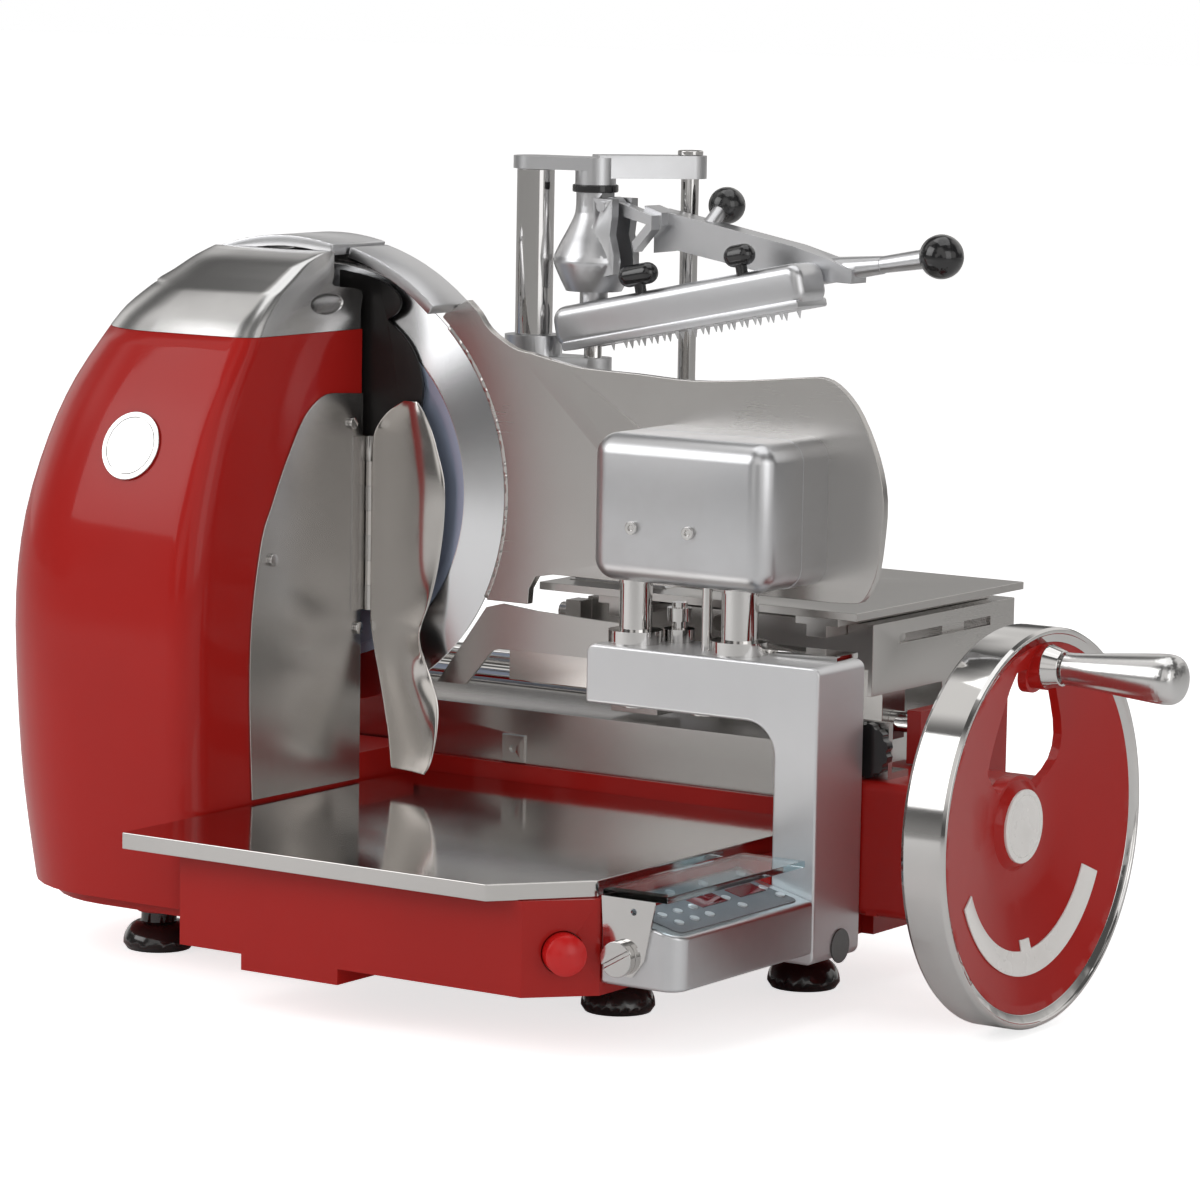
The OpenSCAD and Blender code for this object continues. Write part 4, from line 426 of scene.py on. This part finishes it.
def table_satin():
    return marked_metal("table_satin", STEEL, STEEL_DULL, 0.28, 0.03, marks=2.5, grain=(1, 30, 1))


def mirror_steel():
    return marked_metal("mirror_steel", (0.66, 0.65, 0.64), (0.6, 0.59, 0.58), 0.06, 0.04, marks=5.0)


def tray_steel():
    return marked_metal("tray_steel", (0.62, 0.605, 0.59), (0.57, 0.555, 0.54), 0.09, 0.03, marks=3.0)


def turned_steel():
    return marked_metal("turned_steel", (0.6, 0.59, 0.58), (0.54, 0.53, 0.52), 0.16, 0.05, marks=8.0)


def blade_steel():
    """The bright ground bevel at the rim of the blade."""
    return marked_metal("blade_steel", (0.78, 0.785, 0.8), (0.72, 0.725, 0.74), 0.17, 0.03, marks=4.0)


# Painted reflection: the ground face is tinted blue and made part diffuse, so that the lamps light it
# blue-bright in place of a reflection
def blade_core_painted_reflection():
    return marked_metal("blade_core_painted_reflection", (0.48, 0.55, 0.72), (0.45, 0.52, 0.68), 0.34, 0.03, marks=4.0,
                        metallic=0.6)


def deflector_steel():
    return marked_metal("deflector_steel", (0.64, 0.615, 0.59), (0.6, 0.575, 0.55), 0.13, 0.03, marks=4.0)


def key_silver():
    return marked_metal("key_silver", (0.75, 0.76, 0.78), (0.7, 0.7, 0.72), 0.3, 0.05, marks=20.0,
                        metallic=0.4)


# Near-black finish that stands for the shade inside the housing's opening: painted shade
def painted_shade_black_plate():
    return marked_metal("painted_shade_black_plate", (0.03, 0.028, 0.028), (0.05, 0.048, 0.046), 0.35, 0.1, marks=12.0,
                        metallic=0.6)


def black_phenolic():
    return marked_metal("black_phenolic", (0.012, 0.012, 0.013), (0.02, 0.02, 0.021), 0.12, 0.1,
                        marks=25.0, metallic=0.0, coat=0.4)


def foot_rubber():
    return marked_metal("foot_rubber", (0.02, 0.018, 0.018), (0.03, 0.027, 0.026), 0.16, 0.1,
                        marks=30.0, metallic=0.0, coat=0.6)


def belt_rubber():
    return marked_metal("belt_rubber", (0.015, 0.015, 0.015), (0.03, 0.03, 0.03), 0.6, 0.1,
                        marks=40.0, metallic=0.0)


def gear_bronze():
    return marked_metal("gear_bronze", (0.55, 0.36, 0.16), (0.42, 0.27, 0.12), 0.3, 0.1, marks=20.0)


def white_enamel():
    return marked_metal("white_enamel", (0.86, 0.85, 0.83), (0.8, 0.79, 0.77), 0.25, 0.08,
                        marks=20.0, metallic=0.0)


def stop_plastic():
    return marked_metal("stop_plastic", (0.6, 0.008, 0.008), (0.5, 0.006, 0.006), 0.28, 0.1,
                        marks=20.0, metallic=0.0)


def panel_film():
    material = marked_metal("panel_film", (0.20, 0.205, 0.22), (0.18, 0.185, 0.2), 0.5, 0.06, marks=14.0,
                            metallic=0.0)
    shader = material.node_tree.nodes["Principled BSDF"]
    shader.inputs["Specular IOR Level"].default_value = 0.2
    return material


def panel_display():
    return marked_metal("panel_display", (0.16, 0.004, 0.008), (0.12, 0.003, 0.006), 0.12, 0.05,
                        marks=14.0, metallic=0.0, coat=0.6)


def shield_clear():
    material, tree, shader = new_material("shield_clear", 0.0)
    tint = use_group(tree, HANDLING, object_vector(tree), Color=(0.78, 0.9, 0.94, 1),
                     Marked=(0.72, 0.86, 0.9, 1), Scale=8.0, Roughness=0.03, Spread=0.03)
    tree.links.new(tint.outputs["Color"], shader.inputs["Base Color"])
    tree.links.new(tint.outputs["Roughness"], shader.inputs["Roughness"])
    shader.inputs["Transmission Weight"].default_value = 1.0
    shader.inputs["IOR"].default_value = 1.15
    return material


def grey_stone():
    return marked_metal("grey_stone", (0.3, 0.29, 0.28), (0.22, 0.21, 0.2), 0.8, 0.1,
                        marks=60.0, metallic=0.0)


FINISHES = {
    "red_paint": red_enamel(),
    "bright_cast": cast_polish(),
    "satin_sheet": sheet_satin(),
    "polished_steel": mirror_steel(),
    "blade_steel": blade_steel(),
    "machined_steel": turned_steel(),
    "dark_metal": painted_shade_black_plate(),
    "black_knob": black_phenolic(),
    "rubber": foot_rubber(),
    "belt_rubber": belt_rubber(),
    "gear_bronze": gear_bronze(),
    "plate_white": white_enamel(),
    "panel_film": panel_film(),
    "panel_display": panel_display(),
    "shield_clear": shield_clear(),
    "stop_red": stop_plastic(),
    "stone": grey_stone(),
}


def dress_frame():
    """Every solid of the frame gets the finish of its own slot."""
    for node, solid in frame["nodes"].items():
        finish = FINISHES[SLOT_OF[node]]
        if not solid.material_slots:
            solid.data.materials.append(finish)
        for place in solid.material_slots:
            place.material = finish


dress_frame()
TABLE_SATIN = table_satin()
TRAY_STEEL = tray_steel()
SATIN_CAST = satin_cast()
COLUMN_CAST = column_cast()
BLADE_CORE_PAINTED_REFLECTION = blade_core_painted_reflection()
KEY_SILVER = key_silver()
DEFLECTOR_STEEL = deflector_steel()
SHEET_SATIN = FINISHES["satin_sheet"]

# Nodes that differ in finish from the other nodes of their slot
FINISH_OF = {
    "clamp_head": SATIN_CAST,
    "lever_bar": SATIN_CAST,
    "top_bridge": SATIN_CAST,
    "post_pedestal": SATIN_CAST,
    "gauge_cover_front": SATIN_CAST,
    "gauge_cover_back": SATIN_CAST,
    "panel_box": SATIN_CAST,
    "arm_column": COLUMN_CAST,
    "receiving_tray": TRAY_STEEL,
    "meat_table": TABLE_SATIN,
    "hinge_leaf": SHEET_SATIN,
}


# Rounded copies of the plain castings: the rounding of each in millimetres

ROUNDINGS = {
    "base_casting": 2.5,
    "arm_column": 2.5,
    "gear_housing": 4.0,
    "rail_brackets": 2.0,
    "panel_box": 3.0,
    "rail_cover": 0.8,
    "carriage_body": 1.0,
    "meat_table": 1.0,
    "post_pedestal": 1.5,
    "top_bridge": 1.5,
    "lever_bar": 3.0,
    "gauge_plate": 0.8,
    "side_plate": 0.4,
    "lower_guard": 0.5,
    "receiving_tray": 0.8,
    "flywheel_disc": 1.0,
    "shield": 0.6,
    "shield_bracket": 0.5,
    "crank_pin": 1.0,
    "thickness_knob": 0.8,
    "column_plug": 0.4,
    "panel_overlay": 0.3,
    "fixed_screws": 0.6,
    "cover_screws": 0.6,
    "stop_button": 1.0,
    "clamp_posts": 1.0,
    "clamp_bush": 1.0,
    "gauge_posts": 0.8,
    "flywheel_rim": 0.5,
    "ring_guard": 0.6,
}

# Angle in degrees up to which neighbouring facets become one face; less on the gently curved forms
FLAT_ANGLE = 0.3
FLAT_ANGLE_OF = {"flywheel_disc": 0.01, "blade_housing": 0.05}


def softened(node, smooth=32):
    """The solid's own form with its sharp edges rounded, as a cast or a pressed part has them."""
    piece = bpy.data.objects.new(node + "_finish", frame["nodes"][node].data.copy())
    bpy.context.scene.collection.objects.link(piece)
    start_edit(piece)
    bpy.ops.mesh.remove_doubles(threshold=SAME_PLACE_ON_SOLID)
    bpy.ops.mesh.dissolve_limited(angle_limit=math.radians(FLAT_ANGLE_OF.get(node, FLAT_ANGLE)))
    end_edit()
    smooth_by_angle(piece, smooth)
    if node in ROUNDINGS:
        round_edges(piece, ROUNDINGS[node])
    return on_body(piece, FINISH_OF.get(node, FINISHES[SLOT_OF[node]]), node)


# Blade, its bright bevel and its darker ground face inside BEVEL_R, whose blue tint is a painted
# reflection. The profile: radius and Y.

BLADE_STEPS = 240
BLADE_SMOOTH = 12
BEVEL_R = 140
BLADE_PROFILE = [(12, -6.8), (131.5, -6.8), (132, -8), (139.5, -8), (141, -7.7), (174.7, -0.7), (175, -0.3),
                 (175, 0), (165, 0), (140, -3), (12, -3)]


def round_blade():
    profile = [at_radius(r, y) for r, y in BLADE_PROFILE]
    piece = spun("round_blade", profile, (BLADE_X, 0, BLADE_Z), (0, 1, 0), steps=BLADE_STEPS)
    on_body(piece, FINISHES["blade_steel"], "blade")
    piece.data.materials.append(BLADE_CORE_PAINTED_REFLECTION)
    for face in piece.data.polygons:
        away = Vector((face.center.x - BLADE_X, face.center.z - BLADE_Z)).length
        if away < BEVEL_R * MM:
            face.material_index = 1
    smooth_by_angle(piece, BLADE_SMOOTH)


# Near-black plate in the opening of the housing, painted shade of the housing's inside: two smooth edges
# that meet in a notch, in X and Z

INNER_EDGE = [(84, 342), (92, 385), (100, 425), (101, 452), (88, 478), (67, 496)]
INNER_LOBE = [(67, 496), (77, 503), (79, 513), (68, 523), (48, 529), (20, 533)]
INNER_CORNER = (20, 342)
INNER_CURVE_STEPS = 8
INNER_FRONT = -13
INNER_T = 3
INNER_ROUNDING = 0.4
STANDOFF_X = 32
STANDOFF_ZS = (362, 482)
STANDOFF_FRONT = -20
STANDOFF_R = 5


def inner_plate():
    edge = smooth_curve(INNER_EDGE, INNER_CURVE_STEPS)
    lobe = smooth_curve(INNER_LOBE, INNER_CURVE_STEPS)[1:]
    outline = [at(x, INNER_FRONT, z) for x, z in edge + lobe + [Vector(INNER_CORNER)]]
    plate = extruded("painted_shade_inner_plate", outline, (0, INNER_T * MM, 0))
    round_edges(plate, INNER_ROUNDING, harden=False)
    standoffs = [rod("standoff", at(STANDOFF_X, STANDOFF_FRONT, z), at(STANDOFF_X, INNER_FRONT, z),
                     STANDOFF_R) for z in STANDOFF_ZS]
    piece = joined("painted_shade_inner_plate", [plate] + standoffs)
    smooth_by_angle(piece)
    on_body(piece, FINISHES["dark_metal"], "inner_plate")


# Slice deflector: rows of height, left edge, right edge, crown and lean of the free edge

DEFLECTOR_Y = -17.6
DEFLECTOR_T = 1.5
DEFLECTOR_COLUMNS = 13
DEFLECTOR_CURVE_STEPS = 4
DEFLECTOR_ROWS = [
    (142, 79, 120, 1, 12), (148, 78, 124, 1, 11), (158, 77, 126, 1.5, 8), (178, 74, 127, 3, 4),
    (198, 70, 125, 4.5, 1), (216, 66, 118, 5, 0), (232, 62, 113, 4, 3), (246, 59, 112, 2, 8),
    (258, 57, 114, 1.5, 10), (276, 57, 119, 2.5, 6), (304, 57, 124, 4.5, 2), (340, 57, 128, 5, 0),
    (372, 57, 128, 4.5, 0), (396, 57, 121, 3.5, 0), (410, 60, 116, 3, 0), (424, 72, 109, 2, 0),
    (434, 88, 101, 0.5, 0)]
# Power that moves the crown from the middle of a row towards the free edge
CROWN_SHIFT = 1.4
HINGE_X = 54.5
HINGE_Y = -16.6
HINGE_R = 3
HINGE_LOW = 266
HINGE_HIGH = 404
HINGE_PARTS = 7
HINGE_PARTS_OF_SHEET = (1, 3, 5)
HINGE_GAP = 0.3


def deflector_sheet():
    rows = smooth_curve(DEFLECTOR_ROWS, DEFLECTOR_CURVE_STEPS)
    points = []
    for z, left, right, crown, lean in rows:
        for k in range(DEFLECTOR_COLUMNS):
            u = k / (DEFLECTOR_COLUMNS - 1)
            y = DEFLECTOR_Y - crown * math.sin(math.pi * u ** CROWN_SHIFT) - lean * u * u
            points.append(at(left + (right - left) * u, y, z))
    n = DEFLECTOR_COLUMNS
    faces = [(j * n + i, j * n + i + 1, (j + 1) * n + i + 1, (j + 1) * n + i)
             for j in range(len(rows) - 1) for i in range(n - 1)]
    sheet = piece_from("slice_deflector", points, faces=faces)
    apply_modifier(sheet, "SOLIDIFY", thickness=DEFLECTOR_T * MM, offset=0)
    apply_modifier(sheet, "SUBSURF", levels=1, render_levels=1)
    return sheet


def slice_deflector():
    sheet = deflector_sheet()
    part = (HINGE_HIGH - HINGE_LOW) / HINGE_PARTS
    barrels = [rod("barrel", at(HINGE_X, HINGE_Y, HINGE_LOW + i * part),
                   at(HINGE_X, HINGE_Y, HINGE_LOW + (i + 1) * part - HINGE_GAP), HINGE_R)
               for i in HINGE_PARTS_OF_SHEET]
    piece = joined("slice_deflector", [sheet] + barrels)
    smooth_by_angle(piece, 40)
    on_body(piece, DEFLECTOR_STEEL, "deflector")


# Sharpener cover with its finger recess, an ellipsoid cut into its side

RECESS_PLACE = (48, -66, 510)
RECESS_SIZE = (3.3, 21, 8.5)


def sharpener_cover():
    piece = softened("sharpener_cover", smooth=40)
    bpy.ops.object.select_all(action="DESELECT")
    bpy.ops.mesh.primitive_uv_sphere_add(segments=64, ring_count=32, radius=MM, location=at(*RECESS_PLACE))
    cutter = bpy.context.active_object
    cutter.scale = RECESS_SIZE
    bpy.ops.object.transform_apply(location=True, rotation=True, scale=True)
    cut_away(piece, cutter)
    smooth_by_angle(piece, 34)


# Bands round the blade: millimetres, and degrees from the flywheel's side upwards, a step to each degree

VISOR = {"in_r": 190, "out_r": 199, "front": -57, "back": 12, "start": 76.5, "sweep": 46,
         "edge": 0.9, "edge_steps": 3}
HOOD = {"in_r": 188.3, "out_r": 197, "front": -37, "back": 12, "start": 49, "sweep": 27,
        "edge": 0.9, "edge_steps": 3}
NOTCH_LIP = {"in_r": 176.8, "out_r": 181, "front": -7, "back": 0, "start": -26, "sweep": 73,
             "edge": 0.6, "edge_steps": 2}


def band_round_blade(name, node, material, band):
    corners = (("in_r", "front"), ("out_r", "front"), ("out_r", "back"), ("in_r", "back"))
    profile = [at_radius(band[r], band[y], band["start"]) for r, y in corners]
    piece = spun(name, profile, (BLADE_X, 0, BLADE_Z), (0, -1, 0), steps=band["sweep"],
                 degrees=band["sweep"])
    round_edges(piece, band["edge"], band["edge_steps"])
    smooth_by_angle(piece)
    on_body(piece, material, node)


def cover_visor():
    """The thick band over the blade that swings up with the sharpener cover."""
    band_round_blade("visor_band", "cover_visor", SATIN_CAST, VISOR)


def ring_hood():
    """The hood of the ring guard over the blade's upper edge."""
    band_round_blade("ring_hood", "ring_guard", SATIN_CAST, HOOD)


def notch_lip():
    """The edge of the gauge plate's notch, close round the blade."""
    band_round_blade("notch_lip", "gauge_plate", SHEET_SATIN, NOTCH_LIP)


# Pusher bar: a rounded casting with a fork at its tail, a strip under it and two rows of teeth.
# Its own X runs along the bar from the pivot, and its Z is up.

PUSHER_PIVOT = (206, 70, 500)
PUSHER_ANGLE = 11.8
PUSHER_TAIL = 24
PUSHER_HEAD = 208
PUSHER_LOW = -20
PUSHER_HIGH = 13
PUSHER_FRONT = -25
PUSHER_BACK = 15
PUSHER_ROUND = 11.5
PUSHER_EDGE = 8
PUSHER_EDGE_STEPS = 6
PUSHER_EDGE_ANGLE = 50
STRIP_TAIL = 16
STRIP_HEAD = PUSHER_HEAD - 4
STRIP_LOW = PUSHER_LOW - 2
STRIP_HIGH = PUSHER_LOW + 5
STRIP_ROUND = 2
STRIP_REACH = 1
STRIP_EDGE = 0.6
STRIP_EDGE_STEPS = 2
TOOTH_FIRST = 27
TOOTH_END = PUSHER_HEAD - 16
TOOTH_STEP = 12
TOOTH_ROWS = (-18, 8)
TOOTH_R = 2.7
TOOTH_TIP_R = 0.4
TOOTH_H = 7
TOOTH_DROP = 4.5
FORK_HALF = 12.2
FORK_START = -60
FORK_END = 18
FORK_LOW = -60
FORK_H = 120


def rounded_outline(low, high, radius, steps=8):
    corners = [(high[0] - radius, high[1] - radius, 0), (low[0] + radius, high[1] - radius, 90),
               (low[0] + radius, low[1] + radius, 180), (high[0] - radius, low[1] + radius, 270)]
    return [(x + radius * math.cos(math.radians(a + 90 * k / steps)),
             y + radius * math.sin(math.radians(a + 90 * k / steps)))
            for x, y, a in corners for k in range(steps + 1)]


def pusher_part(name, outline, front, back, edge, segments):
    points = [(x * MM, front * MM, z * MM) for x, z in outline]
    piece = extruded(name, points, (0, (back - front) * MM, 0))
    round_edges(piece, edge, segments, angle=PUSHER_EDGE_ANGLE, harden=False)
    return piece


def pusher_teeth():
    teeth = []
    bpy.ops.object.select_all(action="DESELECT")
    for x in range(TOOTH_FIRST, TOOTH_END, TOOTH_STEP):
        for y in TOOTH_ROWS:
            place = (x * MM, y * MM, (PUSHER_LOW - TOOTH_DROP) * MM)
            bpy.ops.mesh.primitive_cone_add(vertices=4, radius1=TOOTH_TIP_R * MM, radius2=TOOTH_R * MM,
                                            depth=TOOTH_H * MM, location=place)
            teeth.append(bpy.context.active_object)
    for tooth in teeth:
        select_only(tooth)
        bpy.ops.object.transform_apply(location=True, rotation=True, scale=True)
    return teeth


def fork_cutter():
    x, y, z = PUSHER_PIVOT
    corners = ((FORK_START, -FORK_HALF), (FORK_END, -FORK_HALF), (FORK_END, FORK_HALF),
               (FORK_START, FORK_HALF))
    outline = [at(x + along, y + across, z + FORK_LOW) for along, across in corners]
    return extruded("fork_cut", outline, (0, 0, FORK_H * MM))


def pusher_bar():
    tilt = Matrix.Rotation(math.radians(-PUSHER_ANGLE), 4, "Y")
    side = rounded_outline((-PUSHER_TAIL, PUSHER_LOW), (PUSHER_HEAD, PUSHER_HIGH), PUSHER_ROUND)
    casting = pusher_part("pusher_casting", side, PUSHER_FRONT, PUSHER_BACK, PUSHER_EDGE, PUSHER_EDGE_STEPS)
    side = rounded_outline((-STRIP_TAIL, STRIP_LOW), (STRIP_HEAD, STRIP_HIGH), STRIP_ROUND)
    strip = pusher_part("pusher_strip", side, PUSHER_FRONT - STRIP_REACH, PUSHER_BACK + STRIP_REACH,
                        STRIP_EDGE, STRIP_EDGE_STEPS)
    piece = joined("pusher_casting", [casting, strip] + pusher_teeth())
    piece.data.transform(Matrix.Translation(at(*PUSHER_PIVOT)) @ tilt)
    cut_away(piece, fork_cutter(), use_self=True)
    smooth_by_angle(piece, 35)
    on_body(piece, SATIN_CAST, "pusher_bar")


# Round badges and the curved plate of the flywheel: bare, the badges with a plain groove

BADGE_STEPS = 96
BADGE_RING = 4.5
BADGE_EDGE = 0.4
BADGE_GROOVE = 0.5
HOUSING_BADGE_PLACE = (-30, -209, 404)
HOUSING_BADGE_LEAN = 20
HOUSING_BADGE_R = 27
HOUSING_BADGE_T = 1.6
HUB_BADGE_PLACE = (630.5, 16, 152.5)
HUB_BADGE_R = 27.5
HUB_BADGE_T = 2
ARC_PLACE = (613.5, 16, 152.5)
ARC_IN_R = 92
ARC_OUT_R = 110
ARC_IN_H = 21.8
ARC_OUT_H = 25.8
ARC_SLOPE = (ARC_OUT_H - ARC_IN_H) / (ARC_OUT_R - ARC_IN_R)
ARC_HALF = 65
TAB_IN_R = 84
TAB_OUT_R = ARC_IN_R + 1
TAB_HALF = 4.5
PLATE_T = 1.5
PLATE_EDGE = 0.5


def badge(name, node, radius, thickness, pose):
    groove = radius - BADGE_RING
    profile = [(0, 0), (radius, 0), (radius, thickness - BADGE_EDGE), (radius - BADGE_EDGE, thickness),
               (groove + BADGE_GROOVE, thickness), (groove, thickness - BADGE_GROOVE),
               (groove - BADGE_GROOVE, thickness), (0, thickness)]
    piece = piece_from(name, [(r * MM, 0, h * MM) for r, h in profile],
                       edges=[(i, i + 1) for i in range(len(profile) - 1)])
    start_edit(piece)
    bpy.ops.mesh.spin(steps=BADGE_STEPS, angle=math.radians(360), center=(0, 0, 0), axis=(0, 0, 1))
    end_edit()
    merged(piece)
    piece.data.transform(pose)
    smooth_by_angle(piece, 25)
    on_body(piece, FINISHES[SLOT_OF[node]], node)


def arc_plate(name, in_r, in_h, out_r, out_h, half):
    """Part of a ring on the dished disc, half degrees to each side of its lowest point."""
    start = math.radians(-half)
    profile = [Vector((r * math.cos(start), r * math.sin(start), h)) * MM
               for r, h in ((in_r, in_h), (out_r, out_h), (out_r, out_h + PLATE_T), (in_r, in_h + PLATE_T))]
    piece = spun(name, profile, (0, 0, 0), (0, 0, 1), steps=max(4, int(half)), degrees=2 * half)
    round_edges(piece, PLATE_EDGE, harden=False)
    return piece


def housing_badge():
    lean = Matrix.Rotation(math.radians(90 - HOUSING_BADGE_LEAN), 4, "X")
    badge("round_badge", "housing_badge", HOUSING_BADGE_R, HOUSING_BADGE_T,
          Matrix.Translation(at(*HOUSING_BADGE_PLACE)) @ lean)


def wheel_plates():
    outwards = Matrix.Rotation(math.radians(90), 4, "Y")
    badge("hub_badge", "wheel_plates", HUB_BADGE_R, HUB_BADGE_T,
          Matrix.Translation(at(*HUB_BADGE_PLACE)) @ outwards)
    arc = arc_plate("arc_plate", ARC_IN_R, ARC_IN_H, ARC_OUT_R, ARC_OUT_H, ARC_HALF)
    tab = arc_plate("arc_tab", TAB_IN_R, ARC_IN_H - ARC_SLOPE * (ARC_IN_R - TAB_IN_R), TAB_OUT_R,
                    ARC_IN_H + ARC_SLOPE, TAB_HALF)
    piece = joined("arc_plate", [arc, tab])
    piece.data.transform(Matrix.Translation(at(*ARC_PLACE)) @ outwards)
    smooth_by_angle(piece)
    on_body(piece, FINISHES["plate_white"], "wheel_plates")


# Keys and displays of the panel: one solid, and the keys that stand higher are silver

PANEL_EDGE = (508, -258, 95)
PANEL_ANGLE = 13.63
KEY_HEIGHT = 1.6


def panel_windows():
    piece = softened("panel_windows")
    piece.data.materials.append(KEY_SILVER)
    angle = math.radians(PANEL_ANGLE)
    up = Vector((math.sin(angle), 0, math.cos(angle)))
    corner = at(*PANEL_EDGE)
    for face in piece.data.polygons:
        heights = [(piece.data.vertices[v].co - corner).dot(up) for v in face.vertices]
        if max(heights) > KEY_HEIGHT * MM:
            face.material_index = 1


OWN_PIECES = {
    "blade": round_blade,
    "inner_plate": inner_plate,
    "deflector": slice_deflector,
    "sharpener_cover": sharpener_cover,
    "cover_visor": cover_visor,
    "pusher_bar": pusher_bar,
    "panel_windows": panel_windows,
    "housing_badge": housing_badge,
    "wheel_plates": wheel_plates,
}
for node in SLOT_OF:
    if node not in OWN_PIECES:
        softened(node)
for make_piece in OWN_PIECES.values():
    make_piece()
ring_hood()
notch_lip()


# Floor and light

FLOOR_GLOW = 0.72
ROOM_SCALE = 1.7
ROOM_DARK = 0.10
ROOM_LIGHT = 0.88
ROOM_TINT = (1.0, 0.985, 0.965, 1)
# Levels of the noise between which a dark gap turns into a pale screen
SCREEN_EDGES = (0.40, 0.60)
WHITE = (1, 1, 1, 1)
FLOOR_WIDTH = 60
FLOOR_GREY = (0.9, 0.9, 0.9, 1)
FLOOR_ROUGHNESS = 0.9
# Name, place, aim, width, height and watts of each soft box
LAMPS = [
    ("key_light", (-1.7, -2.2, 1.9), (-0.1, 0, 0.3), 2.2, 2.2, 34),
    ("fill_light", (2.8, -1.0, 1.2), (0.1, 0, 0.25), 1.4, 2.0, 9),
    ("top_light", (0.2, 0.3, 2.8), (0, 0, 0.3), 2.4, 2.0, 20),
]


def seen_through(tree):
    """1 for what the camera sees, straight or through glass, and 0 for what lights the metal."""
    rays = tree.nodes.new("ShaderNodeLightPath")
    return math_node(tree, "MAXIMUM", rays.outputs["Is Camera Ray"], rays.outputs["Is Transmission Ray"])


def pale_floor():
    bpy.ops.mesh.primitive_plane_add(size=FLOOR_WIDTH, location=(0, 0, 0))
    floor = bpy.context.active_object
    floor.name = "floor"
    material, tree, shader = new_material("pale_floor", 0.0)
    shader.inputs["Base Color"].default_value = FLOOR_GREY
    shader.inputs["Roughness"].default_value = FLOOR_ROUGHNESS
    shader.inputs["Emission Color"].default_value = WHITE
    glow = math_node(tree, "MULTIPLY", seen_through(tree), FLOOR_GLOW)
    tree.links.new(glow, shader.inputs["Emission Strength"])
    floor.data.materials.append(material)


def studio_world():
    """White to the camera, and a soft room of pale screens and dark gaps to the metal."""
    world = bpy.data.worlds.new("studio")
    bpy.context.scene.world = world
    world.use_nodes = True
    tree = world.node_tree
    tree.nodes.clear()
    out = tree.nodes.new("ShaderNodeOutputWorld")
    mix = tree.nodes.new("ShaderNodeMixShader")
    white = tree.nodes.new("ShaderNodeBackground")
    white.inputs["Color"].default_value = WHITE
    white.inputs["Strength"].default_value = 1.0
    room = tree.nodes.new("ShaderNodeBackground")
    room.inputs["Color"].default_value = ROOM_TINT
    where = tree.nodes.new("ShaderNodeTexCoord")
    screens = noise(tree, where.outputs["Generated"], ROOM_SCALE, detail=1.0)
    level = tree.nodes.new("ShaderNodeMapRange")
    level.interpolation_type = "SMOOTHSTEP"
    level.inputs["From Min"].default_value = SCREEN_EDGES[0]
    level.inputs["From Max"].default_value = SCREEN_EDGES[1]
    level.inputs["To Min"].default_value = ROOM_DARK
    level.inputs["To Max"].default_value = ROOM_LIGHT
    tree.links.new(screens, level.inputs["Value"])
    tree.links.new(level.outputs[0], room.inputs["Strength"])
    tree.links.new(seen_through(tree), mix.inputs["Fac"])
    tree.links.new(room.outputs[0], mix.inputs[1])
    tree.links.new(white.outputs[0], mix.inputs[2])
    tree.links.new(mix.outputs[0], out.inputs["Surface"])


def soft_box(name, place, aim, width, height, power):
    light = bpy.data.lights.new(name, "AREA")
    light.shape = "RECTANGLE"
    light.size = width
    light.size_y = height
    light.energy = power
    lamp = bpy.data.objects.new(name, light)
    bpy.context.scene.collection.objects.link(lamp)
    lamp.location = place
    lamp.rotation_mode = "QUATERNION"
    lamp.rotation_quaternion = (Vector(aim) - Vector(place)).to_track_quat("-Z", "Y")


pale_floor()
studio_world()
for lamp in LAMPS:
    soft_box(*lamp)
